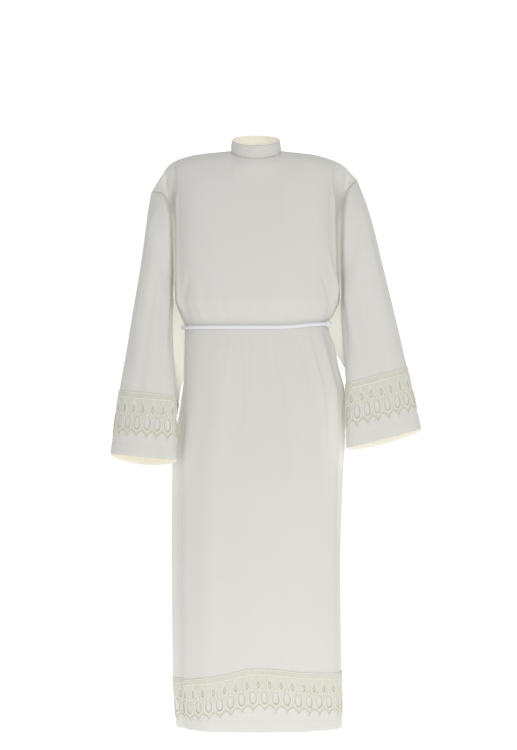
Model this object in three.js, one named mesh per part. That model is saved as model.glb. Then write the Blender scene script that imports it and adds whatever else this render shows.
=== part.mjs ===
// A full-length alb with wide sleeves, a stand collar, lace edgings and a cord cincture, in its worn
// hollow form. Millimetres, +Z up, the front faces -Y and the wearer's right is -X. The origin is the
// centre of the neck's base at shoulder level.
import * as THREE from "three";

// Cloth, seams and edgings
const clothWall = 2;
const seamGap = 0.3;
const laceLift = 0.5; // from the cloth to the back of the lace
const laceGround = 1; // thickness of the lace's ground
const laceThread = 1.9; // thickness where a thick thread rims a gap

// Columns of each panel; the lace has one repeat for every two columns
const bodyColumns = 40;
const armholeRows = 8;
const neckFirst = 15;
const neckLast = 25;

// The skirt's lace keeps hemLaceTall from its straight edge to its points, and the cuffs' cuffLaceTall
const hemLaceTall = 104;
const cuffLaceTall = 112;
const cuffLaceUp = 44; // from the cuff's edge up to the lace's points

// Collar band: its two edges slope up to the back
const collar = { halfWidth: 62, front: -66, back: 58, frontZ: -34, slope: 0.36 };
const collarTop = { halfWidth: 58, front: -62, back: 52, frontZ: -2, slope: 0.31 };

// Cincture and its knot
const cord = { radius: 4.5, sides: 8, steps: 64, clear: 1.1 };
const knot = { length: 20, radius: 7.5, turns: 2, beforeSide: 24, steps: 10 };

// Shoulder seams from the sleeve's seam to the neck, as the outline runs
const shoulderRight = [
  { x: -258, y: 5, z: -110 },
  { x: -246, y: 6, z: -89 },
  { x: -233, y: 6, z: -69 },
  { x: -218, y: 6, z: -47 },
  { x: -200, y: 6, z: -34 },
  { x: -160, y: 5, z: -21 },
  { x: -110, y: 3, z: -14 },
];
const shoulderLeft = [
  { x: 251, y: 5, z: -82 },
  { x: 238, y: 6, z: -68 },
  { x: 227, y: 6, z: -56 },
  { x: 216, y: 6, z: -45 },
  { x: 200, y: 6, z: -36 },
  { x: 149, y: 5, z: -20 },
  { x: 105, y: 3, z: -14 },
];

// Armhole seams from the shoulder's tip to the underarm. They lie back in a valley between the
// panel and the sleeve, whose lip stands out from them halfway down by sleeveLip.
const armholes = {
  rightFront: [
    { x: -258, y: 5, z: -110 },
    { x: -240, y: -5, z: -108 },
    { x: -219, y: -11, z: -128 },
    { x: -206, y: -12, z: -180 },
    { x: -203, y: -11, z: -240 },
    { x: -201, y: -5, z: -310 },
    { x: -200, y: 8, z: -375 },
  ],
  rightBack: [
    { x: -258, y: 5, z: -110 },
    { x: -248, y: 34, z: -112 },
    { x: -234, y: 54, z: -138 },
    { x: -220, y: 60, z: -200 },
    { x: -208, y: 46, z: -290 },
    { x: -200, y: 8, z: -375 },
  ],
  leftFront: [
    { x: 251, y: 5, z: -82 },
    { x: 238, y: -5, z: -84 },
    { x: 222, y: -11, z: -112 },
    { x: 211, y: -12, z: -165 },
    { x: 207, y: -11, z: -230 },
    { x: 206, y: -5, z: -305 },
    { x: 206, y: 8, z: -375 },
  ],
  leftBack: [
    { x: 251, y: 5, z: -82 },
    { x: 244, y: 34, z: -88 },
    { x: 233, y: 54, z: -118 },
    { x: 222, y: 60, z: -185 },
    { x: 212, y: 46, z: -285 },
    { x: 206, y: 8, z: -375 },
  ],
};
const sleeveLip = { out: 8, front: 48, back: 14, start: 2, below: 7 };

// Level sections of the body: half-widths to the wearer's right and left of the neck, depths to the
// front and back of the side seams, and the side seams' own place in depth. The waist rises by its
// tilt to the wearer's left, where the cincture's knot pulls it up.
const bodySections = [
  { z: -375, right: 200, left: 206, front: 124, back: 104, side: 8 },
  { z: -412, right: 189, left: 193, front: 114, back: 96, side: 6 },
  { z: -447, right: 176, left: 178, front: 101, back: 85, side: 4, tilt: 9 },
  { z: -489, right: 177, left: 190, front: 105, back: 92, side: 3 },
  { z: -543, right: 178, left: 203, front: 109, back: 100, side: 2 },
  { z: -612, right: 180, left: 219, front: 113, back: 107, side: 0 },
  { z: -700, right: 193, left: 220, front: 117, back: 112, side: 0 },
  { z: -800, right: 203, left: 214, front: 120, back: 116, side: 0 },
  { z: -1030, right: 203, left: 207, front: 123, back: 120, side: 0 },
  { z: -1262, right: 201, left: 210, front: 125, back: 122, side: 0 },
  { z: -1426, right: 191, left: 213, front: 125, back: 123, side: 0 },
];
const bodySquareness = 2.5;

// Folds: a ridge is over 0 and a trough under 0, at a share of the panel's width that may drift from
// its top to its bottom
const frontFolds = [
  { top: 0.1, bottom: 0.12, from: -640, to: -1500, rise: -8, width: 0.025 },
  { top: 0.055, bottom: 0.06, from: -560, to: -1500, rise: 6, width: 0.022 },
  { top: 0.9, bottom: 0.93, from: -430, to: -1000, rise: -9, width: 0.025 },
  { top: 0.85, bottom: 0.87, from: -440, to: -1500, rise: 5, width: 0.03 },
  { top: 0.3, bottom: 0.27, from: -440, to: -1500, rise: 4, width: 0.05 },
  { top: 0.64, bottom: 0.68, from: -450, to: -1500, rise: 3.5, width: 0.05 },
];
const backFolds = [
  { top: 0.12, bottom: 0.13, from: -60, to: -400, rise: -5, width: 0.03 },
  { top: 0.88, bottom: 0.87, from: -60, to: -400, rise: -5, width: 0.03 },
  { top: 0.14, bottom: 0.1, from: -440, to: -1500, rise: -10, width: 0.03 },
  { top: 0.24, bottom: 0.21, from: -440, to: -1500, rise: 9, width: 0.04 },
  { top: 0.35, bottom: 0.34, from: -440, to: -1500, rise: -8, width: 0.04 },
  { top: 0.5, bottom: 0.48, from: -440, to: -1500, rise: 9, width: 0.05 },
  { top: 0.66, bottom: 0.64, from: -440, to: -1500, rise: -9, width: 0.04 },
  { top: 0.77, bottom: 0.79, from: -440, to: -1500, rise: 8, width: 0.04 },
  { top: 0.88, bottom: 0.91, from: -440, to: -1500, rise: -9, width: 0.03 },
];

// Sleeve rings below the armhole: the outer and inner edge as the outline runs, with their depths,
// how far the front and back stand from the line between them, how far the back hangs lower, and how
// far the back's inner part tucks in behind the waist
const sleeveRings = {
  right: [
    { outX: -267, outZ: -160, outY: 4, inX: -203, inZ: -392, inY: 2, front: 62, back: 72, drop: 0, tuck: 0 },
    { outX: -276, outZ: -230, outY: 2, inX: -205, inZ: -420, inY: -6, front: 64, back: 74, drop: 0, tuck: 20 },
    { outX: -288, outZ: -315, outY: -4, inX: -205, inZ: -458, inY: -16, front: 62, back: 80, drop: 0, tuck: 50 },
    { outX: -303, outZ: -405, outY: -12, inX: -203, inZ: -500, inY: -32, front: 58, back: 84, drop: 2, tuck: 52 },
    { outX: -318, outZ: -500, outY: -22, inX: -199, inZ: -550, inY: -50, front: 54, back: 80, drop: 6, tuck: 44 },
    { outX: -333, outZ: -588, outY: -32, inX: -196, inZ: -603, inY: -66, front: 50, back: 64, drop: 12, tuck: 24 },
    { outX: -357, outZ: -755, outY: -40, inX: -192, inZ: -768, inY: -84, front: 44, back: 44, drop: 22, tuck: 0 },
  ],
  left: [
    { outX: 266, outZ: -125, outY: 4, inX: 208, inZ: -390, inY: 2, front: 62, back: 72, drop: 0, tuck: 0 },
    { outX: 287, outZ: -190, outY: 2, inX: 209, inZ: -416, inY: -4, front: 62, back: 74, drop: 0, tuck: 18 },
    { outX: 309, outZ: -280, outY: 0, inX: 211, inZ: -452, inY: -12, front: 58, back: 80, drop: 0, tuck: 50 },
    { outX: 332, outZ: -375, outY: -6, inX: 214, inZ: -492, inY: -24, front: 52, back: 82, drop: 2, tuck: 60 },
    { outX: 352, outZ: -460, outY: -14, inX: 217, inZ: -535, inY: -36, front: 46, back: 70, drop: 5, tuck: 42 },
    { outX: 370, outZ: -540, outY: -22, inX: 220, inZ: -580, inY: -46, front: 40, back: 50, drop: 9, tuck: 16 },
    { outX: 406, outZ: -695, outY: -30, inX: 221, inZ: -741, inY: -54, front: 34, back: 34, drop: 16, tuck: 0 },
  ],
};
const sleeveSquareness = 2.2;
const sleeveFolds = [
  { at: 0.16, from: 0, to: 0.75, rise: 3, width: 0.05 },
  { at: 0.33, from: 0.1, to: 1.2, rise: -3, width: 0.05 },
  { at: 0.62, from: 0, to: 1.2, rise: -4, width: 0.06 },
  { at: 0.78, from: 0.05, to: 1.2, rise: 4, width: 0.05 },
];

// How far the skirt lace's points stay above the hem, by share of each panel's width
const hemLaceUp = {
  front: [
    { at: 0, up: 24 },
    { at: 0.12, up: 18 },
    { at: 0.3, up: 29 },
    { at: 0.5, up: 50 },
    { at: 0.75, up: 37 },
    { at: 1, up: 29 },
  ],
  back: [
    { at: 0, up: 24 },
    { at: 0.5, up: 36 },
    { at: 1, up: 29 },
  ],
};

// One repeat of the lace runs from a valley of its lower edge over a point to the next valley. Heights
// are shares of the lace's height from its straight edge down, and sideways shares of a half repeat.
const lacePlan = {
  archTop: 0.25,
  archSide: { across: 0.34, down: 0.37 },
  archFoot: 0.47,
  valley: 0.87,
  shoulder: { across: 0.5, down: 0.885 },
  ovalTop: 0.5,
  ovalUpper: { across: 0.66, down: 0.585 },
  ovalLower: { across: 0.68, down: 0.7 },
  ovalFoot: 0.77,
};

const cloth = new THREE.MeshStandardMaterial({ name: "white_cloth", color: 0xf1f0ea, roughness: 0.85 });
const lace = new THREE.MeshStandardMaterial({ name: "cream_lace", color: 0xe9e8d8, roughness: 0.8 });
const cordYarn = new THREE.MeshStandardMaterial({ name: "white_cord", color: 0xf2f3f6, roughness: 0.7 });

const vector = ({ x, y, z }) => new THREE.Vector3(x, y, z);
const mix = THREE.MathUtils.lerp;
const signedPower = (value, power) => Math.sign(value) * Math.abs(value) ** power;

// Equal steps along a smooth curve through a table's points.
function spaced(points, steps) {
  return new THREE.CatmullRomCurve3(points, false, "centripetal").getSpacedPoints(steps);
}

// A smooth line through a short table of shares and heights, read at a share.
function fromTable(table, at) {
  const shares = table.map((row) => row.at);
  const heights = table.map((row) => row.up);
  return new THREE.CubicInterpolant(shares, heights, 1, [0]).evaluate(at)[0];
}

// A smooth bump of height 1 at 0, gone past 2.5 widths.
function bump(distance, width) {
  return Math.exp(-((distance / width) ** 2));
}

// Front or back half of the neck's ring, from the wearer's right to the left; facing is -1 or 1.
function neckHalf(edge, facing) {
  const points = [];
  const depth = facing < 0 ? -edge.front : edge.back;
  const steps = neckLast - neckFirst;
  for (let step = 0; step <= steps; step++) {
    const share = step / steps;
    // Between equal angles and equal widths, so that the columns below stay even
    const across = -(Math.cos(Math.PI * share) + 1 - 2 * share) / 2;
    const y = facing * depth * Math.sqrt(1 - across ** 2);
    const z = edge.frontZ + edge.slope * (y - edge.front);
    points.push(new THREE.Vector3(edge.halfWidth * across, y, z));
  }
  return points;
}

// A panel's top edge: shoulder seam, neckline, shoulder seam.
function topEdge(facing) {
  const neck = neckHalf(collar, facing);
  const right = spaced([...shoulderRight.map(vector), neck[0]], neckFirst);
  const left = spaced([...shoulderLeft.map(vector), neck.at(-1)], bodyColumns - neckLast).reverse();
  return [...right.slice(0, -1), ...neck, ...left.slice(1)];
}

// Front or back half of a level section, in equal steps of its own length.
function levelHalf(section, facing) {
  const fine = [];
  const fineSteps = 72;
  const depth = facing < 0 ? section.front : section.back;
  for (let step = 0; step <= fineSteps; step++) {
    const angle = (Math.PI * step) / fineSteps;
    const across = -signedPower(Math.cos(angle), 2 / bodySquareness);
    const half = across < 0 ? section.right : section.left;
    const out = Math.sin(angle) ** (2 / bodySquareness);
    const tilt = (section.tilt ?? 0) * THREE.MathUtils.smoothstep(across, 0.3, 1);
    fine.push(new THREE.Vector3(across * half, section.side + facing * depth * out, section.z + tilt));
  }
  return new THREE.CatmullRomCurve3(fine).getSpacedPoints(bodyColumns);
}

// The rows of one body panel: eight between the shoulder and the underarm, then the level sections.
function bodyGrid(facing, rightSeam, leftSeam) {
  const top = topEdge(facing);
  const levels = bodySections.map((section) => levelHalf(section, facing));
  const right = spaced(rightSeam.map(vector), armholeRows);
  const left = spaced(leftSeam.map(vector), armholeRows);
  const chest = levels[0];
  const rows = [top];
  for (let row = 1; row < armholeRows; row++) {
    const down = (row / armholeRows) ** 1.35; // rows lie closer near the shoulder
    const roundness = 2.4;
    const outward = (1 - (1 - down) ** roundness) ** (1 / roundness);
    const neckline = (1 - down) ** 6; // how much of the neckline's own depth is left
    const blend = (from, to) => {
      const y = mix(from.y * neckline, to.y, outward);
      return new THREE.Vector3(mix(from.x, to.x, down), y, mix(from.z, to.z, down));
    };
    const rightShift = right[row].clone().sub(blend(top[0], chest[0]));
    const leftShift = left[row].clone().sub(blend(top.at(-1), chest.at(-1)));
    const points = top.map((point, column) => {
      const share = column / bodyColumns;
      return blend(point, chest[column])
        .add(seamShift(rightShift, share, facing))
        .add(seamShift(leftShift, 1 - share, facing));
    });
    rows.push(points);
  }
  return [...rows, ...levels];
}

// How far a point moves with its seam, at a share of the panel's width from it. In depth the front
// leaves its seam sooner, so that the seam lies back in a valley.
function seamShift(shift, share, facing) {
  const wide = 1 - THREE.MathUtils.smoothstep(share, 0, 0.25);
  const reach = facing < 0 ? 0.09 : 0.2;
  const deep = share < reach ? (1 - share / reach) ** 2 : 0;
  return new THREE.Vector3(shift.x * wide, shift.y * deep, shift.z * wide);
}

// Moves a grid's inner points along their normals by its folds.
function foldGrid(rows, folds) {
  const normals = rows.map((row, i) => row.map((_, j) => gridNormal(rows, i, j)));
  return rows.map((row, i) =>
    row.map((point, j) => {
      if (i === 0 || j === 0 || j === row.length - 1) return point;
      const share = j / (row.length - 1);
      return point.clone().addScaledVector(normals[i][j], foldHeight(folds, share, point.z));
    }),
  );
}

function gridNormal(rows, i, j) {
  const above = rows[Math.max(0, i - 1)][j];
  const below = rows[Math.min(rows.length - 1, i + 1)][j];
  const before = rows[i][Math.max(0, j - 1)];
  const after = rows[i][Math.min(rows[i].length - 1, j + 1)];
  const normal = below.clone().sub(above).cross(after.clone().sub(before)).normalize();
  const outward = new THREE.Vector3(0, rows[i][j].y, 0);
  return normal.dot(outward) < 0 ? normal.negate() : normal;
}

function foldHeight(folds, share, z) {
  const fadeLength = 70;
  let height = 0;
  for (const fold of folds) {
    const down = THREE.MathUtils.clamp((fold.from - z) / (fold.from - fold.to), 0, 1);
    const fade =
      THREE.MathUtils.smoothstep(fold.from - z, 0, fadeLength) *
      THREE.MathUtils.smoothstep(z - fold.to, 0, fadeLength);
    height += fold.rise * fade * bump(share - mix(fold.top, fold.bottom, down), fold.width);
  }
  return height;
}

// Half of a sleeve's ring from its outer to its inner edge, over the front (-1) or the back (1).
function ringHalf(ring, down, facing) {
  const outer = new THREE.Vector3(ring.outX, ring.outY, ring.outZ);
  const inner = new THREE.Vector3(ring.inX, ring.inY, ring.inZ);
  const depth = facing < 0 ? ring.front : ring.back;
  const fineSteps = 64;
  const fine = [];
  for (let step = 0; step <= fineSteps; step++) {
    const angle = (Math.PI * step) / fineSteps;
    const across = (1 - signedPower(Math.cos(angle), 2 / sleeveSquareness)) / 2;
    const out = Math.sin(angle) ** (2 / sleeveSquareness);
    const share = facing < 0 ? step / fineSteps / 2 : 1 - step / fineSteps / 2;
    const point = outer.clone().lerp(inner, across);
    point.y += facing * out * (depth + sleeveFoldHeight(share, down));
    if (facing > 0) {
      const fromInner = 1 - step / fineSteps;
      const { smoothstep } = THREE.MathUtils;
      const tucked = smoothstep(fromInner, 0.1, 0.34) * (1 - smoothstep(fromInner, 0.38, 0.85));
      point.z -= out * ring.drop;
      point.x -= Math.sign(point.x) * ring.tuck * tucked;
    }
    fine.push(point);
  }
  return new THREE.CatmullRomCurve3(fine).getSpacedPoints(2 * armholeRows);
}

// The sleeve's lip along one armhole seam.
function lipHalf(seam, facing) {
  const steps = 2 * armholeRows;
  const rise = facing < 0 ? sleeveLip.front : sleeveLip.back;
  return spaced(seam.map(vector), steps).map((point, step) => {
    const swell = Math.sin((Math.PI * step) / steps) ** 0.8;
    const moved = point.clone();
    moved.x += Math.sign(point.x) * (sleeveLip.start + sleeveLip.out * swell);
    moved.y += facing * rise * swell;
    moved.z -= sleeveLip.below;
    return moved;
  });
}

// A sleeve's rings, each starting at the outer edge and going over the front to the inner edge and
// back. The first ring is the armhole, with half as many points as the others.
function sleeveGrid(frontSeam, backSeam, table) {
  const ringOf = (front, back) => [...front, ...back.slice(1, -1).reverse()];
  const head = [frontSeam, backSeam].map((seam) => spaced(seam.map(vector), armholeRows));
  const lip = ringOf(lipHalf(frontSeam, -1), lipHalf(backSeam, 1));
  const rings = table.map((ring, index) => {
    const down = index / (table.length - 1);
    return ringOf(ringHalf(ring, down, -1), ringHalf(ring, down, 1));
  });
  return [ringOf(...head), lip, ...rings];
}

function sleeveFoldHeight(share, down) {
  let height = 0;
  for (const fold of sleeveFolds) {
    const fadeLength = 0.25;
    const fade =
      THREE.MathUtils.smoothstep(down - fold.from, 0, fadeLength) *
      THREE.MathUtils.smoothstep(fold.to - down, 0, fadeLength);
    height += fold.rise * fade * bump(share - fold.at, fold.width);
  }
  return height;
}

// A patch is a list of points with the triangles between them, seen from outside.
function makePatch() {
  return { points: [], faces: [] };
}

function addRow(patch, row) {
  const first = patch.points.length;
  patch.points.push(...row);
  return row.map((_, index) => first + index);
}

// The patch of a grid of rows. Where a row has twice the columns of the row above it, each column
// above meets two below. turned flips the faces' direction. The last strip's quads are split along
// their lower diagonal, so that a lace laid over them stays clear.
function gridPatch(rows, closed, turned) {
  const patch = makePatch();
  const ids = rows.map((row) => addRow(patch, row));
  const add = (a, b, c) => patch.faces.push(turned ? [a, c, b] : [a, b, c]);
  for (let i = 1; i < ids.length; i++) {
    const above = ids[i - 1];
    const below = ids[i];
    const count = closed ? above.length : above.length - 1;
    const doubles = below.length > above.length;
    for (let j = 0; j < count; j++) {
      const a = above[j];
      const b = above[(j + 1) % above.length];
      if (doubles) {
        const [c, d, e] = [2 * j, 2 * j + 1, 2 * j + 2].map((k) => below[k % below.length]);
        add(a, c, d);
        add(a, d, b);
        add(b, d, e);
      } else {
        const c = below[j];
        const d = below[(j + 1) % below.length];
        if (i === ids.length - 1 && isRidge(patch, [a, b, c, d], turned)) {
          add(a, c, b);
          add(b, c, d);
        } else {
          add(a, c, d);
          add(a, d, b);
        }
      }
    }
  }
  return patch;
}

// Whether a quad's diagonal from its upper start to its lower end stands out over the other one.
function isRidge(patch, corners, turned) {
  const [a, b, c, d] = corners.map((id) => patch.points[id]);
  const normal = c.clone().sub(a).cross(b.clone().sub(a));
  const step = a.clone().add(d).sub(b).sub(c);
  return step.dot(normal) > 0 !== turned;
}

const keyOf = (point) => point.toArray().map((value) => Math.round(value * 1000) + 0).join(" ");

// Directed edges that only one face of a patch has.
function openEdges(patch) {
  const edges = new Map();
  for (const [a, b, c] of patch.faces)
    for (const [from, to, third] of [
      [a, b, c],
      [b, c, a],
      [c, a, b],
    ])
      edges.set(from + "_" + to, { from, to, third });
  return [...edges.values()].filter(({ from, to }) => !edges.has(to + "_" + from));
}

// Gives each patch its points' normals, shared where patches meet at a seam, with how much further
// the wall's inner side lies along them there, and moves the seams' edges back by half their gap.
function joinPatches(patches) {
  const mitreLimit = 3;
  const owners = new Map(); // for each point, each of its patches with that patch's own normal
  for (const patch of patches) {
    for (const face of patch.faces) {
      const [a, b, c] = face.map((id) => patch.points[id]);
      const normal = b.clone().sub(a).cross(c.clone().sub(a));
      for (const corner of [a, b, c]) {
        const key = keyOf(corner);
        if (!owners.has(key)) owners.set(key, new Map());
        const own = owners.get(key);
        if (!own.has(patch)) own.set(patch, new THREE.Vector3());
        own.get(patch).add(normal);
      }
    }
  }
  const shared = (point) => owners.get(keyOf(point)).size > 1;
  // Halfway between two walls, and weighted by their faces where three meet
  const normalAt = (point) => {
    const own = [...owners.get(keyOf(point)).values()];
    const parts = own.length === 2 ? own.map((normal) => normal.clone().normalize()) : own;
    return parts.reduce((sum, part) => sum.add(part), new THREE.Vector3()).normalize();
  };
  const mitreAt = (patch, point) => {
    const own = owners.get(keyOf(point));
    if (own.size !== 2) return 1;
    const lean = own.get(patch).clone().normalize().dot(normalAt(point));
    return 1 / Math.max(lean, 1 / mitreLimit);
  };
  for (const patch of patches) {
    patch.normals = patch.points.map(normalAt);
    patch.mitres = patch.points.map((point) => mitreAt(patch, point));
    const pulls = new Map();
    for (const { from, to, third } of openEdges(patch)) {
      const [a, b, c] = [from, to, third].map((id) => patch.points[id]);
      if (!shared(a) || !shared(b)) continue;
      const along = b.clone().sub(a).normalize();
      const inward = c.clone().sub(a);
      inward.addScaledVector(along, -inward.dot(along)).normalize();
      for (const id of [from, to]) {
        const normal = patch.normals[id];
        const aside = inward.clone().addScaledVector(normal, -inward.dot(normal)).normalize();
        pulls.set(id, [...(pulls.get(id) ?? []), aside]);
      }
    }
    patch.shifts = patch.points.map(() => new THREE.Vector3());
    for (const [id, [first, second = first]] of pulls) {
      const pull = seamGap / 2 / (1 + first.dot(second));
      patch.shifts[id].add(first).add(second).multiplyScalar(pull);
    }
  }
}

// A closed wall: the patch moved out by outer, the same moved out by inner, and its rims.
function wallGeometry(patch, outer, inner) {
  const count = patch.points.length;
  const place = (id, distance) =>
    patch.points[id].clone().add(patch.shifts[id]).addScaledVector(patch.normals[id], distance);
  const corners = patch.points.map((_, id) => place(id, outer(id)));
  corners.push(...patch.points.map((_, id) => place(id, inner * (patch.mitres?.[id] ?? 1))));
  const index = [];
  for (const [a, b, c] of patch.faces) index.push(a, b, c, a + count, c + count, b + count);
  for (const { from, to } of openEdges(patch)) {
    // Both walls at a seam split their rims along the same diagonal
    const fromFirst = keyOf(patch.points[from]) < keyOf(patch.points[to]);
    if (fromFirst) index.push(to, from, from + count, to, from + count, to + count);
    else index.push(to, from, to + count, from, from + count, to + count);
  }
  const geometry = new THREE.BufferGeometry().setFromPoints(corners);
  geometry.setIndex(index);
  geometry.computeVertexNormals();
  return geometry;
}

// A point on a panel's last strip, with its normal: column may lie between two of its columns, and
// up is the distance from the panel's lower edge along the cloth.
function onStrip(strip, column, up) {
  const first = Math.floor(column);
  const read = (index) => {
    const wrapped = index % strip.lower.length;
    const [low, high] = [strip.lower[wrapped], strip.upper[wrapped]];
    const share = up / low.point.distanceTo(high.point);
    return {
      point: low.point.clone().lerp(high.point, share),
      normal: low.normal.clone().lerp(high.normal, share),
    };
  };
  const start = read(first);
  if (column === first) return { point: start.point, normal: start.normal.normalize() };
  const end = read(first + 1);
  return {
    point: start.point.lerp(end.point, column - first),
    normal: start.normal.lerp(end.normal, column - first).normalize(),
  };
}

// The last two rows of a patch with their normals, for what is laid on them.
function lastStrip(patch, columns) {
  const read = (id) => ({
    point: patch.points[id].clone().add(patch.shifts[id]),
    normal: patch.normals[id],
  });
  const end = patch.points.length;
  const ids = (from) => Array.from({ length: columns }, (_, index) => from + index);
  return { upper: ids(end - 2 * columns).map(read), lower: ids(end - columns).map(read) };
}

// A lace edging on a span of a strip's columns, two for each repeat: a straight upper edge, an arch gap
// over each valley, an oval gap over each point. inset draws its ends in, in columns.
function lacePatch(strip, span, tall, upAt, turned) {
  const patch = { ...makePatch(), normals: [], shifts: [], rims: new Set() };
  const add = (column, down, rimmed) => {
    const up = upAt((column - span.from) / (span.to - span.from)) + tall * (1 - down);
    const within = THREE.MathUtils.clamp(column, span.from + span.inset, span.to - span.inset);
    const { point, normal } = onStrip(strip, within, up);
    patch.points.push(point);
    patch.normals.push(normal);
    patch.shifts.push(new THREE.Vector3());
    const id = patch.points.length - 1;
    if (rimmed) patch.rims.add(id);
    return id;
  };
  const plan = lacePlan;
  const valleyLine = (column) =>
    [0, plan.archTop, plan.archFoot, plan.valley].map((down, index) =>
      add(column, down, index === 1 || index === 2),
    );
  const pointLine = (column) =>
    [0, plan.ovalTop, plan.ovalFoot, 1].map((down, index) => add(column, down, index === 1 || index === 2));
  const half = (valley, peak, valleyColumn, direction) => {
    const place = ({ across, down }, rimmed) => add(valleyColumn + direction * across, down, rimmed);
    const [valleyTop, archTop, archFoot, valleyFoot] = valley;
    const [peakTop, ovalTop, ovalFoot, tip] = peak;
    const archSide = place(plan.archSide, true);
    const upper = place(plan.ovalUpper, true);
    const lower = place(plan.ovalLower, true);
    const shoulder = place(plan.shoulder, false);
    const faces = [
      [valleyTop, archTop, archSide],
      [valleyTop, archSide, peakTop],
      [peakTop, archSide, ovalTop],
      [archSide, upper, ovalTop],
      [archSide, archFoot, upper],
      [archFoot, lower, upper],
      [archFoot, valleyFoot, lower],
      [valleyFoot, shoulder, lower],
      [shoulder, ovalFoot, lower],
      [shoulder, tip, ovalFoot],
    ];
    const flip = direction < 0 !== turned;
    for (const [a, b, c] of faces) patch.faces.push(flip ? [a, c, b] : [a, b, c]);
  };
  let before = valleyLine(span.from);
  for (let start = span.from; start < span.to; start += 2) {
    const peak = pointLine(start + 1);
    const after = valleyLine(start + 2);
    half(before, peak, start, 1);
    half(after, peak, start + 2, -1);
    before = after;
  }
  return patch;
}

function laceGeometry(patch) {
  const outer = (id) => laceLift + (patch.rims.has(id) ? laceThread : laceGround);
  return wallGeometry(patch, outer, laceLift);
}

// The centre line of a cord laid round the waist, just clear of the cloth, from the wearer's right
// side over the front to the left side and back.
function waistLoop(frontRow, backRow) {
  const round = [...frontRow, ...backRow.slice(1, -1).reverse()];
  const points = round.map((point, index) => {
    const before = round.at(index - 1);
    const after = round[(index + 1) % round.length];
    const outward = new THREE.Vector3(after.y - before.y, before.x - after.x, 0).normalize();
    return point.clone().addScaledVector(outward, cord.radius + cord.clear);
  });
  return new THREE.CatmullRomCurve3(points, true);
}

// A closed tube along a stretch of a level loop, flat at both ends. rim gives its radius at a share
// of its length, and what is thicker than the cord stands out to the loop's outer side.
function tubeGeometry(loop, from, to, steps, rim) {
  const patch = makePatch();
  const up = new THREE.Vector3(0, 0, 1);
  const rings = [];
  for (let step = 0; step <= steps; step++) {
    const share = step / steps;
    const place = (mix(from, to, share) + 1) % 1;
    const ahead = loop.getTangentAt(place);
    const outward = new THREE.Vector3().crossVectors(ahead, up).normalize();
    const over = new THREE.Vector3().crossVectors(outward, ahead);
    const radius = rim(share);
    const centre = loop.getPointAt(place).addScaledVector(outward, radius - cord.radius);
    const ring = [];
    for (let corner = 0; corner < cord.sides; corner++) {
      const angle = (2 * Math.PI * (corner + 0.5)) / cord.sides;
      const spoke = outward.clone().multiplyScalar(Math.cos(angle)).addScaledVector(over, Math.sin(angle));
      ring.push(centre.clone().addScaledVector(spoke, radius));
    }
    rings.push(addRow(patch, ring));
  }
  for (let step = 0; step < steps; step++) {
    for (let corner = 0; corner < cord.sides; corner++) {
      const next = (corner + 1) % cord.sides;
      const [a, b] = [rings[step][corner], rings[step][next]];
      const [c, d] = [rings[step + 1][corner], rings[step + 1][next]];
      patch.faces.push([a, c, b], [b, c, d]);
    }
  }
  const [first, last] = [rings[0], rings.at(-1)];
  for (let corner = 1; corner < cord.sides - 1; corner++) {
    patch.faces.push([first[0], first[corner], first[corner + 1]]);
    patch.faces.push([last[0], last[corner + 1], last[corner]]);
  }
  const geometry = new THREE.BufferGeometry().setFromPoints(patch.points);
  geometry.setIndex(patch.faces.flat());
  geometry.computeVertexNormals();
  return geometry;
}

const alb = new THREE.Group();

function addMesh(name, geometry, material) {
  const mesh = new THREE.Mesh(geometry, material);
  mesh.name = name;
  alb.add(mesh);
}

const frontGrid = foldGrid(bodyGrid(-1, armholes.rightFront, armholes.leftFront), frontFolds);
const backGrid = foldGrid(bodyGrid(1, armholes.rightBack, armholes.leftBack), backFolds);
const rightSleeveGrid = sleeveGrid(armholes.rightFront, armholes.rightBack, sleeveRings.right);
const leftSleeveGrid = sleeveGrid(armholes.leftFront, armholes.leftBack, sleeveRings.left);
const collarRing = (edge) => [...neckHalf(edge, -1), ...neckHalf(edge, 1).slice(1, -1).reverse()];

const front = gridPatch(frontGrid, false, false);
const back = gridPatch(backGrid, false, true);
const sleeveRight = gridPatch(rightSleeveGrid, true, false);
const sleeveLeft = gridPatch(leftSleeveGrid, true, true);
const collarBand = gridPatch([collarRing(collarTop), collarRing(collar)], true, false);
joinPatches([front, back, sleeveRight, sleeveLeft, collarBand]);

const plainWall = (patch) => wallGeometry(patch, () => 0, -clothWall);
addMesh("front", plainWall(front), cloth);
addMesh("back", plainWall(back), cloth);
addMesh("sleeve_right", plainWall(sleeveRight), cloth);
addMesh("sleeve_left", plainWall(sleeveLeft), cloth);
addMesh("collar_band", plainWall(collarBand), cloth);

const cuffUp = () => cuffLaceUp;
const sleeveColumns = 4 * armholeRows;
for (const [side, patch, turned] of [
  ["right", sleeveRight, false],
  ["left", sleeveLeft, true],
]) {
  const strip = lastStrip(patch, sleeveColumns);
  const columnWidth = strip.lower[0].point.distanceTo(strip.lower[1].point);
  const inset = seamGap / 2 / columnWidth;
  for (const [half, from, to] of [
    ["front", 0, sleeveColumns / 2],
    ["back", sleeveColumns / 2, sleeveColumns],
  ]) {
    const edging = lacePatch(strip, { from, to, inset }, cuffLaceTall, cuffUp, turned);
    addMesh("cuff_lace_" + side + "_" + half, laceGeometry(edging), lace);
  }
}
for (const [side, patch, turned] of [
  ["front", front, false],
  ["back", back, true],
]) {
  const strip = lastStrip(patch, bodyColumns + 1);
  const upAt = (share) => fromTable(hemLaceUp[side], share);
  const span = { from: 0, to: bodyColumns, inset: 0 };
  const edging = lacePatch(strip, span, hemLaceTall, upAt, turned);
  addMesh("hem_lace_" + side, laceGeometry(edging), lace);
}

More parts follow.
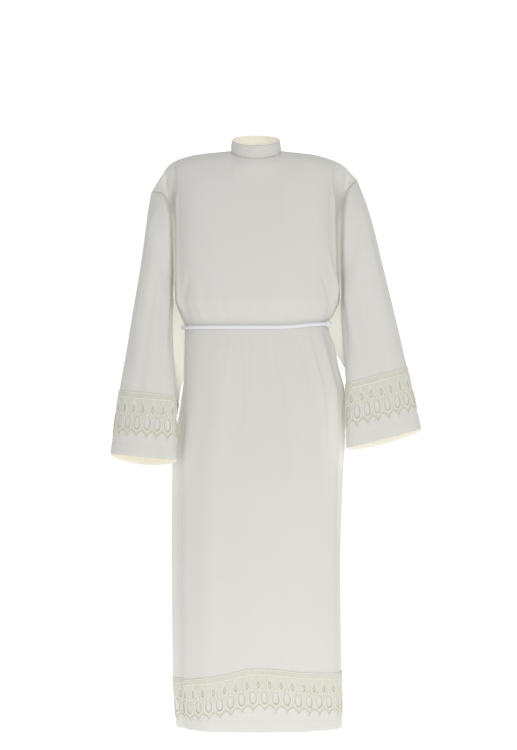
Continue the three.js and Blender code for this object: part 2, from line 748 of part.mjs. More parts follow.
const waistRow = armholeRows + bodySections.findIndex((section) => section.tilt);
const loop = waistLoop(frontGrid[waistRow], backGrid[waistRow]);
const loopLength = loop.getLength();
const knotFrom = 0.5 - (knot.beforeSide + knot.length) / loopLength;
const knotTo = 0.5 - knot.beforeSide / loopLength;
const endGap = seamGap / loopLength;
const knotRim = (share) =>
  mix(cord.radius, knot.radius, Math.abs(Math.sin(Math.PI * knot.turns * share)) ** 0.6);
const cordRim = () => cord.radius;
const cincture = tubeGeometry(loop, knotTo + endGap, knotFrom + 1 - endGap, cord.steps, cordRim);
addMesh("cincture", cincture, cordYarn);
addMesh("cincture_knot", tubeGeometry(loop, knotFrom, knotTo, knot.steps, knotRim), cordYarn);

export default alb;
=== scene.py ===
import math
from collections import namedtuple

import bpy
import numpy as np
from mathutils.geometry import delaunay_2d_cdt
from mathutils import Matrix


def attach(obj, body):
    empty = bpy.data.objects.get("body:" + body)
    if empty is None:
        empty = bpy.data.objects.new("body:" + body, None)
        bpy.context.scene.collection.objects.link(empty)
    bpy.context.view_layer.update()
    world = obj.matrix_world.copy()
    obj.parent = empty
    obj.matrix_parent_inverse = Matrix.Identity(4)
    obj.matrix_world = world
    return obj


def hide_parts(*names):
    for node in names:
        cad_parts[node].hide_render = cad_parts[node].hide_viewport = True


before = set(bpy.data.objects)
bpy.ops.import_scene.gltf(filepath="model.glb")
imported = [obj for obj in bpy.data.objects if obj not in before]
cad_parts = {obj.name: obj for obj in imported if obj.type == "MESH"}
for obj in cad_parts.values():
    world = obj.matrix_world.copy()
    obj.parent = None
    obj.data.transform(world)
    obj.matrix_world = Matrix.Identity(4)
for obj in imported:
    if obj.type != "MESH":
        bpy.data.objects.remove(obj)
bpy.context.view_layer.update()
scene = bpy.context.scene

# Wall, seams and layers
CLOTH_WALL = 0.001
SEAM_DIP = 0.0008
SEAM_REACH = 0.0028
HEM_WIDTH = 0.026
LACE_LIFT = 0.0004
LACE_GROUND = 0.0006
THREAD_RADIUS = 0.0009
THREAD_LIFT = 0.3  # of a thread's radius
THIN_THREAD = 0.6  # of a thick one's radius
COLLAR_WALL = 0.0018

# Fineness of the cloth
BODY_COLUMNS = 40
BODY_FINER = 4
BODY_STEP = 0.0068
ARMHOLE_ROWS = 8
NECK_FIRST = 15
NECK_LAST = 25
SLEEVE_COLUMNS = 32
SLEEVE_FINER = 4
SLEEVE_STEP = 0.0055
COLLAR_STEP = 0.0025

# Lace: heights from the straight edge to the points, and from the cuff's edge up to the points
HEM_LACE_TALL = 0.104
CUFF_LACE_TALL = 0.112
CUFF_LACE_UP = 0.044
HEM_REPEATS = 40
CUFF_REPEATS = 16
SAME_PLACE = 10000  # points of the ground that agree to one in this many are one

# The strip of cloth under an edging: shares of its height, from over its edge to under its points
STRIP_LOW = -0.06
STRIP_HIGH = 1.1
STRIP_STEPS = 90

# Teardrops cut through the lace: middle, top, foot, half width and how low they are widest
OVAL_GAP = (0, 0.52, 0.795, 0.275, 0.25)
ARCH_GAP = (0.5, 0.3, 0.44, 0.1, 0.45)

# Half an arch of thread and the thin one inside it: across in repeats, down in shares of the height
ARCH_LEG = [(0, 0.49), (0.08, 0.432), (0.19, 0.35), (0.3, 0.275), (0.41, 0.218), (0.5, 0.165)]
ARCH_INNER_LEG = [(0.09, 0.475), (0.15, 0.41), (0.24, 0.335), (0.34, 0.272), (0.43, 0.235), (0.5, 0.205)]

# Closed threads: teardrops as above, with their number of points, and their thickness
THREAD_LOOPS = [
    ((0.5, 0.25, 0.465, 0.2, 0.45), 1),
    ((0.5, 0.287, 0.452, 0.13, 0.45, 14), THIN_THREAD),
    ((0, 0.49, 0.835, 0.42, 0.25), 1),
    ((0, 0.51, 0.805, 0.3, 0.25), THIN_THREAD),
    ((0, 0.478, 0.502, 0.055, 0, 8), 1),
    ((0, 0.985, 1.02, 0.07, 0, 8), 1),
]

Edge = namedtuple("Edge", "half_width front back front_z slope")
Level = namedtuple("Level", "z right left front back side tilt")
Ring = namedtuple("Ring", "out_x out_z out_y in_x in_z in_y front back drop tuck")
Fold = namedtuple("Fold", "top bottom start end rise width")
Pleat = namedtuple("Pleat", "line rise")
Strip = namedtuple("Strip", "points normals repeats")

COLLAR = Edge(0.062, -0.066, 0.058, -0.034, 0.36)
COLLAR_TOP = Edge(0.058, -0.062, 0.052, -0.002, 0.31)

# Shoulder seams from the sleeve's seam to the neck: x, y, z
SHOULDER_RIGHT = [
    (-0.258, 0.005, -0.11),
    (-0.246, 0.006, -0.089),
    (-0.233, 0.006, -0.069),
    (-0.218, 0.006, -0.047),
    (-0.2, 0.006, -0.034),
    (-0.16, 0.005, -0.021),
    (-0.11, 0.003, -0.014),
]
SHOULDER_LEFT = [
    (0.251, 0.005, -0.082),
    (0.238, 0.006, -0.068),
    (0.227, 0.006, -0.056),
    (0.216, 0.006, -0.045),
    (0.2, 0.006, -0.036),
    (0.149, 0.005, -0.02),
    (0.105, 0.003, -0.014),
]

# Armhole seams from the shoulder's tip to the underarm: x, y, z. They lie back in a valley between
# the panel and the sleeve, whose lip stands out from them halfway down.
ARMHOLE_RIGHT_FRONT = [
    (-0.258, 0.005, -0.11),
    (-0.24, -0.005, -0.108),
    (-0.219, -0.011, -0.128),
    (-0.206, -0.012, -0.18),
    (-0.203, -0.011, -0.24),
    (-0.201, -0.005, -0.31),
    (-0.2, 0.008, -0.375),
]
ARMHOLE_RIGHT_BACK = [
    (-0.258, 0.005, -0.11),
    (-0.248, 0.034, -0.112),
    (-0.234, 0.054, -0.138),
    (-0.22, 0.06, -0.2),
    (-0.208, 0.046, -0.29),
    (-0.2, 0.008, -0.375),
]
ARMHOLE_LEFT_FRONT = [
    (0.251, 0.005, -0.082),
    (0.238, -0.005, -0.084),
    (0.222, -0.011, -0.112),
    (0.211, -0.012, -0.165),
    (0.207, -0.011, -0.23),
    (0.206, -0.005, -0.305),
    (0.206, 0.008, -0.375),
]
ARMHOLE_LEFT_BACK = [
    (0.251, 0.005, -0.082),
    (0.244, 0.034, -0.088),
    (0.233, 0.054, -0.118),
    (0.222, 0.06, -0.185),
    (0.212, 0.046, -0.285),
    (0.206, 0.008, -0.375),
]
LIP_OUT = 0.008
LIP_FRONT = 0.048
LIP_BACK = 0.014
LIP_START = 0.002
LIP_BELOW = 0.007

LEVELS = [
    Level(-0.375, 0.2, 0.206, 0.124, 0.104, 0.008, 0),
    Level(-0.412, 0.189, 0.193, 0.114, 0.096, 0.006, 0),
    Level(-0.447, 0.176, 0.178, 0.101, 0.085, 0.004, 0.009),
    Level(-0.489, 0.177, 0.19, 0.105, 0.092, 0.003, 0),
    Level(-0.543, 0.178, 0.203, 0.109, 0.1, 0.002, 0),
    Level(-0.612, 0.18, 0.219, 0.113, 0.107, 0, 0),
    Level(-0.7, 0.193, 0.22, 0.117, 0.112, 0, 0),
    Level(-0.8, 0.203, 0.214, 0.12, 0.116, 0, 0),
    Level(-1.03, 0.203, 0.207, 0.123, 0.12, 0, 0),
    Level(-1.262, 0.201, 0.21, 0.125, 0.122, 0, 0),
    Level(-1.426, 0.191, 0.213, 0.125, 0.123, 0, 0),
]
WAIST_LEVEL = 2
BODY_SQUARENESS = 2.5
SLEEVE_SQUARENESS = 2.2

# How the chest's rows run between the shoulder and the underarm: powers of the share of the way down
ROW_SPREAD = 1.35
CHEST_ROUND = 2.4
SHOULDER_FADE = 6

# How far in from a seam its own shape and its valley reach, as shares of the panel's width, and
# where a level tilts, from the middle at 0 to the wearer's left at 1
SEAM_WIDTH = 0.25
VALLEY_FRONT = 0.09
VALLEY_BACK = 0.2
TILTED_PART = (0.3, 1)

# Where a sleeve's back is tucked in, from its inner edge as a share
TUCK_RISES = (0.1, 0.34)
TUCK_FALLS = (0.38, 0.85)

RINGS_RIGHT = [
    Ring(-0.267, -0.16, 0.004, -0.203, -0.392, 0.002, 0.062, 0.072, 0.0, 0.0),
    Ring(-0.276, -0.23, 0.002, -0.205, -0.42, -0.006, 0.064, 0.074, 0.0, 0.02),
    Ring(-0.288, -0.315, -0.004, -0.205, -0.458, -0.016, 0.062, 0.08, 0.0, 0.05),
    Ring(-0.303, -0.405, -0.012, -0.203, -0.5, -0.032, 0.058, 0.084, 0.002, 0.052),
    Ring(-0.318, -0.5, -0.022, -0.199, -0.55, -0.05, 0.054, 0.088, 0.006, 0.056),
    Ring(-0.333, -0.588, -0.032, -0.196, -0.603, -0.066, 0.05, 0.074, 0.012, 0.042),
    Ring(-0.357, -0.755, -0.04, -0.192, -0.768, -0.084, 0.044, 0.044, 0.022, 0.0),
]
RINGS_LEFT = [
    Ring(0.266, -0.125, 0.004, 0.208, -0.39, 0.002, 0.062, 0.072, 0.0, 0.0),
    Ring(0.287, -0.19, 0.002, 0.209, -0.416, -0.004, 0.062, 0.074, 0.0, 0.018),
    Ring(0.309, -0.28, 0.0, 0.211, -0.452, -0.012, 0.058, 0.092, 0.0, 0.064),
    Ring(0.332, -0.375, -0.006, 0.214, -0.492, -0.024, 0.052, 0.092, 0.002, 0.072),
    Ring(0.352, -0.46, -0.014, 0.217, -0.535, -0.036, 0.046, 0.07, 0.005, 0.042),
    Ring(0.37, -0.54, -0.022, 0.22, -0.58, -0.046, 0.04, 0.05, 0.009, 0.016),
    Ring(0.406, -0.695, -0.03, 0.221, -0.741, -0.054, 0.034, 0.034, 0.016, 0.0),
]

# Folds of the panels: the share of the width at their top and bottom, the heights between which they
# run, how far they stand out (over 0) or in, and their width as a share
FRONT_FOLDS = [
    Fold(0.1, 0.12, -0.64, -1.5, -0.008, 0.025),
    Fold(0.055, 0.06, -0.56, -1.5, 0.006, 0.022),
    Fold(0.9, 0.93, -0.43, -1.0, -0.009, 0.025),
    Fold(0.85, 0.87, -0.44, -1.5, 0.005, 0.03),
    Fold(0.3, 0.27, -0.44, -1.5, 0.004, 0.05),
    Fold(0.64, 0.68, -0.45, -1.5, 0.0035, 0.05),
]
BACK_FOLDS = [
    Fold(0.12, 0.13, -0.06, -0.4, -0.005, 0.03),
    Fold(0.88, 0.87, -0.06, -0.4, -0.005, 0.03),
    Fold(0.14, 0.1, -0.44, -1.5, -0.01, 0.03),
    Fold(0.24, 0.21, -0.44, -1.5, 0.009, 0.04),
    Fold(0.35, 0.34, -0.44, -1.5, -0.008, 0.04),
    Fold(0.5, 0.48, -0.44, -1.5, 0.009, 0.05),
    Fold(0.66, 0.64, -0.44, -1.5, -0.009, 0.04),
    Fold(0.77, 0.79, -0.44, -1.5, 0.008, 0.04),
    Fold(0.88, 0.91, -0.44, -1.5, -0.009, 0.03),
]
# Finer creases: soft falls over and under the cord, pulls at its knot and bends by the armholes
FRONT_CREASES = [
    Fold(0.925, 0.975, -0.452, -0.72, -0.006, 0.009),
    Fold(0.885, 0.94, -0.452, -0.8, 0.005, 0.014),
    Fold(0.075, 0.08, -0.5, -1.15, -0.005, 0.009),
    Fold(0.06, 0.075, -0.1, -0.42, -0.008, 0.013),
    Fold(0.095, 0.11, -0.09, -0.43, 0.007, 0.016),
    Fold(0.94, 0.925, -0.1, -0.42, -0.008, 0.013),
    Fold(0.905, 0.89, -0.09, -0.4, 0.007, 0.016),
    Fold(0.47, 0.45, -0.452, -0.62, 0.002, 0.012),
    Fold(0.57, 0.585, -0.452, -0.66, -0.0024, 0.014),
    Fold(0.41, 0.395, -0.452, -0.7, -0.0024, 0.014),
    Fold(0.35, 0.33, -0.452, -0.6, 0.0024, 0.011),
    Fold(0.71, 0.74, -0.452, -0.64, -0.0027, 0.012),
    Fold(0.77, 0.8, -0.45, -0.75, 0.0034, 0.012),
    Fold(0.955, 0.93, -0.45, -0.66, 0.0051, 0.01),
    Fold(0.905, 0.94, -0.26, -0.446, -0.0051, 0.012),
    Fold(0.85, 0.925, -0.24, -0.446, 0.0043, 0.016),
    Fold(0.79, 0.9, -0.3, -0.446, -0.0034, 0.014),
    Fold(0.18, 0.13, -0.3, -0.446, -0.0034, 0.02),
    Fold(0.23, 0.22, -0.32, -0.446, 0.0027, 0.02),
    Fold(0.33, 0.34, -0.34, -0.446, -0.0024, 0.018),
    Fold(0.46, 0.455, -0.36, -0.446, -0.0017, 0.014),
    Fold(0.55, 0.56, -0.35, -0.446, 0.0017, 0.016),
    Fold(0.66, 0.655, -0.33, -0.446, -0.0022, 0.018),
]
BACK_CREASES = [
    Fold(0.3, 0.29, -0.3, -0.446, -0.0042, 0.014),
    Fold(0.38, 0.385, -0.27, -0.446, 0.0036, 0.016),
    Fold(0.45, 0.46, -0.31, -0.446, -0.0034, 0.012),
    Fold(0.54, 0.53, -0.29, -0.446, 0.0034, 0.014),
    Fold(0.61, 0.6, -0.26, -0.446, -0.0039, 0.014),
    Fold(0.7, 0.69, -0.3, -0.446, 0.0034, 0.012),
    Fold(0.2, 0.19, -0.3, -0.446, 0.0034, 0.016),
    Fold(0.8, 0.82, -0.28, -0.446, -0.0036, 0.014),
    Fold(0.29, 0.28, -0.452, -0.66, -0.0036, 0.012),
    Fold(0.42, 0.41, -0.452, -0.72, 0.0036, 0.012),
    Fold(0.57, 0.575, -0.452, -0.7, -0.0036, 0.012),
    Fold(0.72, 0.73, -0.452, -0.64, -0.0034, 0.012),
]
# Pleats of the front over its armholes: x and z along each from the shoulder down, and how far it
# stands out (over 0) or in
PLEAT_WIDTH = 0.006
PLEAT_FADE = 0.035
SHOULDER_PLEATS = [
    Pleat([(-0.216, -0.02), (-0.224, -0.062), (-0.225, -0.086), (-0.22, -0.125), (-0.214, -0.17)], -0.009),
    Pleat([(-0.204, -0.02), (-0.202, -0.09), (-0.201, -0.16)], -0.0065),
    Pleat([(0.2, -0.02), (0.222, -0.05), (0.228, -0.078), (0.223, -0.1), (0.217, -0.15)], -0.01),
    Pleat([(0.198, -0.02), (0.197, -0.07), (0.2, -0.16)], -0.0065),
]
# Sleeve folds: the share round the ring at their top and bottom, the shares of the length between
# which they run, how far they stand out, and their width as a share
SLEEVE_FOLDS = [
    Fold(0.16, 0.16, 0, 0.75, 0.003, 0.05),
    Fold(0.33, 0.33, 0.1, 1.2, -0.003, 0.05),
    Fold(0.62, 0.62, 0, 1.2, -0.004, 0.06),
    Fold(0.78, 0.78, 0.05, 1.2, 0.004, 0.05),
]
SLEEVE_CREASES = [
    Fold(0.05, 0.09, 0.0, 0.5, -0.0027, 0.022),
    Fold(0.09, 0.13, 0.02, 0.62, 0.003, 0.028),
    Fold(0.24, 0.21, 0.18, 0.9, -0.0024, 0.03),
    Fold(0.4, 0.37, 0.05, 0.55, 0.0027, 0.02),
    Fold(0.45, 0.43, 0.0, 0.5, -0.0035, 0.014),
    Fold(0.55, 0.57, 0.0, 0.6, 0.0035, 0.016),
    Fold(0.7, 0.72, 0.1, 0.8, 0.0027, 0.025),
    Fold(0.88, 0.86, 0.0, 0.6, -0.0032, 0.025),
    Fold(0.95, 0.93, 0.0, 0.45, 0.0027, 0.02),
]

# How far folds and creases fade at their ends and wander: metres for a panel, shares for a sleeve
FOLD_FADE = 0.07
CREASE_FADE = 0.05
SLEEVE_FOLD_FADE = 0.25
SLEEVE_CREASE_FADE = 0.15
FOLD_DRIFT = 0.004

# Waves of the cloth, puckers of the sleeves' heads, and the collar's waves and fullness
PANEL_WAVES = 0.0009
SLEEVE_WAVES = 0.0008
SLEEVE_ROUND = 0.42  # metres
CALM_BY_CORD = (0.004, 0.03)  # metres over and under it where the waves fade
PUCKERS = 46
PUCKER_RISE = 0.0014
COLLAR_WAVES = 0.0006
COLLAR_SWELL = 0.0008
COLLAR_TALL = 0.036

# How much painted glow the cloth gets, from 0 to 1: emission that stands in for light from behind coming
# through it, and the heights where it does
LIT_TUCK = 0.72
LIT_VALLEY = 0.34
LIT_ARMHOLE = 0.36
LIT_SIDES = 0.14
LIT_BY_CUFF = 0.22
LIT_PLEAT = 0.2
INNER_PAINTED_GLOW = 0.25
LIT_BELOW = (-0.2, -0.12)
LIT_PLEAT_BELOW = (-0.085, -0.055)
CUFF_Z = -0.71
CUFF_TALL = 0.11

# Where that painted glow fades: distances from a panel's or a sleeve's edge, places in the tucked back of
# a sleeve, heights about the waist, and how far forward a normal looks
LIT_BY_ARMHOLE = (0.006, 0.024)
LIT_BY_SIDE = (0.02, 0.08)
LIT_NEAR_CUFF = (0.04, 0.14)
LIT_BY_HEAD = (0.01, 0.022)
TUCK_X = (0.205, 0.23)
TUCK_Y = (-0.03, 0.01)
TUCK_Z = (-0.68, -0.6)
WAIST_FADE = (-0.56, -0.46)
LIT_NORMALS = (-0.1, 0.35)

# How far the skirt lace's points stay above the hem: share of the panel's width, height
HEM_UP_FRONT = [(0, 0.024), (0.12, 0.018), (0.3, 0.029), (0.5, 0.05), (0.75, 0.037), (1, 0.029)]
HEM_UP_BACK = [(0, 0.024), (0.5, 0.036), (1, 0.029)]

# Cincture
CORD_RADIUS = 0.0045
CORD_CLEAR = 0.0011
CORD_STRANDS = 4
CORD_TWIST = 0.021
CORD_POINTS = 620
CORD_OUT_OF_KNOT = 0.0003
STRAND_DEPTH = 0.16
KNOT_LENGTH = 0.02
KNOT_POINTS = 49
KNOT_RADIUS = 0.0075
KNOT_BEFORE_SIDE = 0.024

# Cloth pieces and the nodes that they dress, and stitches: the cloth and how far up from its edge
CLOTH_NODES = {
    "front_panel": "front",
    "back_panel": "back",
    "right_sleeve": "sleeve_right",
    "left_sleeve": "sleeve_left",
    "neck_band": "collar_band",
}
STITCHES = {
    "front_hem_stitches": ("front_panel", [HEM_WIDTH]),
    "back_hem_stitches": ("back_panel", [HEM_WIDTH]),
    "right_cuff_stitches": ("right_sleeve", [HEM_WIDTH]),
    "left_cuff_stitches": ("left_sleeve", [HEM_WIDTH]),
    "neck_band_stitches": ("neck_band", [0.0035, 0.0315]),
}
STITCH_SIZES = {"Spacing": 0.0034, "Length": 0.0026, "Radius": 0.0003}
STITCH_LIFT = 0.0002

# Tones, from the darker to the paler
CLOTH_TONES = (0.735, 0.73, 0.70), (0.77, 0.765, 0.74)
# Painted light: the cloth's inner faces are a paler cream, for light from behind coming through it
CLOTH_INSIDE_PAINTED_LIGHT = (0.90, 0.875, 0.78)
# Painted glow: an emission colour that stands in for light from behind coming through the cloth
PAINTED_GLOW_TONE = (1.0, 0.965, 0.87)
LACE_TONES = (0.70, 0.695, 0.615), (0.80, 0.793, 0.715)
THREAD_TONES = (0.89, 0.88, 0.79), (0.95, 0.94, 0.86)
# Thin threads' beige: painted shadow along each thick thread
THIN_THREAD_SHADOW_TONE = (0.69, 0.66, 0.555)
CORD_TONES = (0.86, 0.87, 0.9), (0.92, 0.93, 0.96)
THREAD_PITCH = 0.0006
NET_CELL = 0.0024

# Camera, surround, floor and lights: each light's place, aim, size, power and colour
CAMERA_PLACE = (0.006, -5.6, -0.563)
LENS_MM = 108.9
SENSOR_MM = 36
WORLD_LIGHT = 0.6
WORLD_SEEN = 1.1
FLOOR_Z = -1.53
FLOOR_RADIUS = 3.2
FLOOR_SIDES = 64
LIGHTS = {
    "key": ((2.4, -3.6, 0.5), (0, 0, -0.8), (1.8, 1.8), 30, (1, 0.995, 0.98)),
    "fill": ((-2.6, -3.4, 0.2), (0, 0, -0.7), (2.0, 2.6), 10, (0.98, 0.99, 1)),
    "front": ((0.1, -6.6, -0.5), (0, 0, -0.8), (1.4, 1.4), 16, (1, 1, 1)),
}


# The camera

def place_camera():
    data = bpy.data.cameras.new("camera")
    data.lens = LENS_MM
    data.sensor_width = SENSOR_MM
    data.clip_end = 60
    camera = in_scene("camera", data)
    camera.location = CAMERA_PLACE
    camera.rotation_euler = (math.pi / 2, 0, 0)
    scene.camera = camera


# Curves and grids of points

def smoothstep(value, low, high):
    share = np.clip((value - low) / (high - low), 0, 1)
    return share * share * (3 - 2 * share)


def lengths_along(points, axis=0):
    """How far each point lies from the first, down the rows or across the columns."""
    steps = np.linalg.norm(np.diff(points, axis=axis), axis=-1)
    return np.insert(np.cumsum(steps, axis=axis), 0, 0, axis=axis)


def points_at(wanted, along, points):
    """Points on a line, at lengths from its start."""
    return np.stack([np.interp(wanted, along, points[:, axis]) for axis in range(3)], axis=-1)


def resample(points, at):
    """Points on a line: a number of equal steps, or given shares of its length."""
    along = lengths_along(points)
    shares = np.linspace(0, 1, at + 1) if isinstance(at, int) else at
    return points_at(shares * along[-1], along, points)


def cubic_between(start, end, leave, arrive, share):
    """A smooth way from start to end, with the slopes that it leaves and arrives with."""
    cube = 2 * start - 2 * end + leave + arrive
    square = -3 * start + 3 * end - 2 * leave - arrive
    return cube * share**3 + square * share**2 + leave * share + start


def curve_through(points, samples=24):
    """A smooth centripetal curve through a table's points."""
    points = np.asarray(points, float)
    ends = [2 * points[0] - points[1], 2 * points[-1] - points[-2]]
    line = np.concatenate([[ends[0]], points, [ends[1]]])
    spans = np.sqrt(np.linalg.norm(np.diff(line, axis=0), axis=1))
    share = np.linspace(0, 1, samples, endpoint=False)[:, None]
    pieces = []
    for i in range(1, len(line) - 2):
        before, span, after = spans[i - 1 : i + 2]
        p0, p1, p2, p3 = line[i - 1 : i + 3]
        leave = ((p1 - p0) / before - (p2 - p0) / (before + span) + (p2 - p1) / span) * span
        arrive = ((p2 - p1) / span - (p3 - p1) / (span + after) + (p3 - p2) / after) * span
        pieces.append(cubic_between(p1, p2, leave, arrive, share))
    return np.concatenate([*pieces, [points[-1]]])


def spaced(points, steps):
    return resample(curve_through(points), steps)


def smooth_between(places, values, at):
    """Reads table rows on a smooth line that never overshoots them."""
    shape = (-1,) + (1,) * (values.ndim - 1)
    gaps = np.diff(places).reshape(shape)
    slopes = np.diff(values, axis=0) / gaps
    first, second = 2 * gaps[1:] + gaps[:-1], gaps[1:] + 2 * gaps[:-1]
    with np.errstate(divide="ignore", invalid="ignore"):
        middle = (first + second) / (first / slopes[:-1] + second / slopes[1:])
    middle = np.where(slopes[:-1] * slopes[1:] > 0, middle, 0)
    tangents = np.concatenate([slopes[:1], middle, slopes[-1:]])
    index = np.clip(np.searchsorted(places, at, side="right") - 1, 0, len(places) - 2)
    gap = gaps[index]
    share = (at - places[index]).reshape(shape) / gap
    leave, arrive = tangents[index] * gap, tangents[index + 1] * gap
    return cubic_between(values[index], values[index + 1], leave, arrive, share)


def finer_columns(grid, finer, closed):
    """Adds columns on smooth curves through a grid's evenly spaced columns."""
    if closed:
        line = np.concatenate([grid[:, -1:], grid, grid[:, :2]], axis=1)
    else:
        first = 2 * grid[:, :1] - grid[:, 1:2]
        last = 2 * grid[:, -1:] - grid[:, -2:-1]
        line = np.concatenate([first, grid, last], axis=1)
    share = (np.arange(finer) / finer)[None, None, :, None]
    p0, p1, p2, p3 = (line[:, i : line.shape[1] - 3 + i, None, :] for i in range(4))
    fine = cubic_between(p1, p2, (p2 - p0) / 2, (p3 - p1) / 2, share)
    fine = fine.reshape(grid.shape[0], -1, 3)
    return fine if closed else np.concatenate([fine, grid[:, -1:]], axis=1)


def row_places(*grids):
    """How far each row lies from the first, on average over the grids' columns."""
    steps = [np.linalg.norm(np.diff(grid, axis=0), axis=2).mean(axis=1) for grid in grids]
    return np.concatenate([[0], np.cumsum(np.mean(steps, axis=0))])


def finer_rows(grid, places, step):
    at = np.linspace(0, places[-1], round(places[-1] / step) + 1)
    return smooth_between(places, grid, at)


def grid_normals(grid, closed):
    """Unit normals that point away from the rows' middle line."""
    down = np.gradient(grid, axis=0)
    if closed:
        across = (np.roll(grid, -1, axis=1) - np.roll(grid, 1, axis=1)) / 2
        middle = grid.mean(axis=1, keepdims=True)
    else:
        across = np.gradient(grid, axis=1)
        middle = grid * (0, 0, 1)
    normals = np.cross(down, across)
    normals /= np.linalg.norm(normals, axis=2, keepdims=True) + 1e-12
    facing = np.sum(normals * (grid - middle)) < 0
    return -normals if facing else normals


# The panels' sections, as the solids have them

def neck_half(edge, facing, steps):
    share = np.linspace(0, 1, steps + 1)
    across = -(np.cos(math.pi * share) + 1 - 2 * share) / 2
    depth = -edge.front if facing < 0 else edge.back
    y = facing * depth * np.sqrt(1 - across**2)
    z = edge.front_z + edge.slope * (y - edge.front)
    return np.stack([edge.half_width * across, y, z], axis=1)


def top_edge(facing):
    neck = neck_half(COLLAR, facing, NECK_LAST - NECK_FIRST)
    right = spaced([*SHOULDER_RIGHT, neck[0]], NECK_FIRST)
    left = spaced([*SHOULDER_LEFT, neck[-1]], BODY_COLUMNS - NECK_LAST)[::-1]
    return np.concatenate([right[:-1], neck, left[1:]])


def half_round(steps, squareness):
    """A squared half circle: across from -1 to 1, and how far out from 0 to 1 and back."""
    angle = np.linspace(0, math.pi, steps + 1)
    cosine, power = np.cos(angle), 2 / squareness
    return -np.sign(cosine) * np.abs(cosine) ** power, np.abs(np.sin(angle)) ** power


def level_half(level, facing):
    across, out = half_round(360, BODY_SQUARENESS)
    half = np.where(across < 0, level.right, level.left)
    y = level.side + facing * out * (level.front if facing < 0 else level.back)
    z = level.z + level.tilt * smoothstep(across, *TILTED_PART)
    return resample(np.stack([across * half, y, z], axis=1), BODY_COLUMNS)


def seam_shift(share, facing):
    """How far a point moves with its seam: in depth the front leaves it sooner, in a valley."""
    wide = 1 - smoothstep(share, 0, SEAM_WIDTH)
    deep = (1 - np.minimum(share / (VALLEY_FRONT if facing < 0 else VALLEY_BACK), 1)) ** 2
    return np.stack([wide, deep, wide], axis=1)


def body_grid(facing, right_seam, left_seam):
    """One panel's rows: the shoulder, seven between it and the underarm, then the levels."""
    top = top_edge(facing)
    levels = [level_half(level, facing) for level in LEVELS]
    chest = levels[0]
    right, left = spaced(right_seam, ARMHOLE_ROWS), spaced(left_seam, ARMHOLE_ROWS)
    share = np.arange(BODY_COLUMNS + 1) / BODY_COLUMNS
    rows = [top]
    for row in range(1, ARMHOLE_ROWS):
        down = (row / ARMHOLE_ROWS) ** ROW_SPREAD
        outward = (1 - (1 - down) ** CHEST_ROUND) ** (1 / CHEST_ROUND)
        start = top * (1, (1 - down) ** SHOULDER_FADE, 1)
        blend = start + (chest - start) * np.array([down, outward, down])
        right_shift = seam_shift(share, facing) * (right[row] - blend[0])
        left_shift = seam_shift(1 - share, facing) * (left[row] - blend[-1])
        rows.append(blend + right_shift + left_shift)
    return np.stack([*rows, *levels])


def ring_half(ring, facing):
    """Half of a sleeve's ring from its outer to its inner edge."""
    outer = np.array([ring.out_x, ring.out_y, ring.out_z])
    inner = np.array([ring.in_x, ring.in_y, ring.in_z])
    across, out = half_round(128, SLEEVE_SQUARENESS)
    points = outer + (inner - outer) * ((1 + across) / 2)[:, None]
    points[:, 1] += facing * out * (ring.front if facing < 0 else ring.back)
    if facing > 0:
        from_inner = np.linspace(1, 0, 129)
        tucked = smoothstep(from_inner, *TUCK_RISES) * (1 - smoothstep(from_inner, *TUCK_FALLS))
        points[:, 2] -= out * ring.drop
        points[:, 0] -= np.sign(points[:, 0]) * ring.tuck * tucked
    return resample(points, SLEEVE_COLUMNS // 2)


def ring_of(front, back):
    return np.concatenate([front, back[1:-1][::-1]])


def lip_half(seam, facing):
    """The sleeve's lip along one armhole seam."""
    swell = np.abs(np.sin(np.linspace(0, math.pi, len(seam)))) ** 0.8
    rise = facing * (LIP_FRONT if facing < 0 else LIP_BACK)
    out = np.sign(seam[0, 0]) * (LIP_START + LIP_OUT * swell)
    return seam + np.stack([out, rise * swell, np.full(len(seam), -LIP_BELOW)], axis=1)


def sleeve_rings(front_seam, back_seam, rings):
    """A sleeve's rings from the armhole to the cuff, from the outer edge over the front and back."""
    front, back = (resample(seam, SLEEVE_COLUMNS // 2) for seam in (front_seam, back_seam))
    head = ring_of(front, back)
    lip = ring_of(lip_half(front, -1), lip_half(back, 1))
    return np.stack([head, lip, *(ring_of(ring_half(ring, -1), ring_half(ring, 1)) for ring in rings)])


# Folds, creases and seams

def fold_height(folds, share, down, fade_length):
    """Sum of the folds at a share of the width and a place between their starts and ends."""
    height = np.zeros(np.broadcast(share, down).shape)
    for number, fold in enumerate(folds):
        run = (down - fold.start) / (fold.end - fold.start)
        length = abs(fold.end - fold.start)
        fade = smoothstep(run * length, 0, fade_length) * smoothstep((1 - run) * length, 0, fade_length)
        drift = FOLD_DRIFT * np.sin(run * 5.3 + number * 1.9)
        middle = fold.top + (fold.bottom - fold.top) * np.clip(run, 0, 1) + drift
        height += fold.rise * fade * np.exp(-(((share - middle) / fold.width) ** 2))
    return height


def pleat_share(grid, pleat):
    """How near points lie to a pleat's line, from 0 to 1, fading at its ends."""
    line = np.array(pleat.line)[::-1]
    x, z = grid[:, :, 0], grid[:, :, 2]
    middle = np.interp(z, line[:, 1], line[:, 0])
    fade = smoothstep(z, line[0, 1], line[0, 1] + PLEAT_FADE) * (1 - smoothstep(z, line[-1, 1], 0))
    return fade * np.exp(-(((x - middle) / PLEAT_WIDTH) ** 2))


def gentle_waves(across, down, seed, size):
    """Low uneven waves, as in cloth that hangs: both places in metres."""
    dice = np.random.default_rng(seed)
    height = 0
    for _ in range(9):
        length = dice.uniform(0.07, 0.26)
        turn = dice.uniform(-0.5, 0.5)
        phase = dice.uniform(0, 2 * math.pi)
        along = across * math.cos(turn) + down * math.sin(turn) * 0.5
        height = height + length * np.sin(2 * math.pi * along / length + phase)
    return size * height / 0.6


def seam_dip(distance):
    return -SEAM_DIP * np.exp(-((distance / SEAM_REACH) ** 2))


def edge_distances(grid):
    """Distances along the cloth from a grid's first and last columns."""
    first = lengths_along(grid, 1)
    return first, first[:, -1:] - first


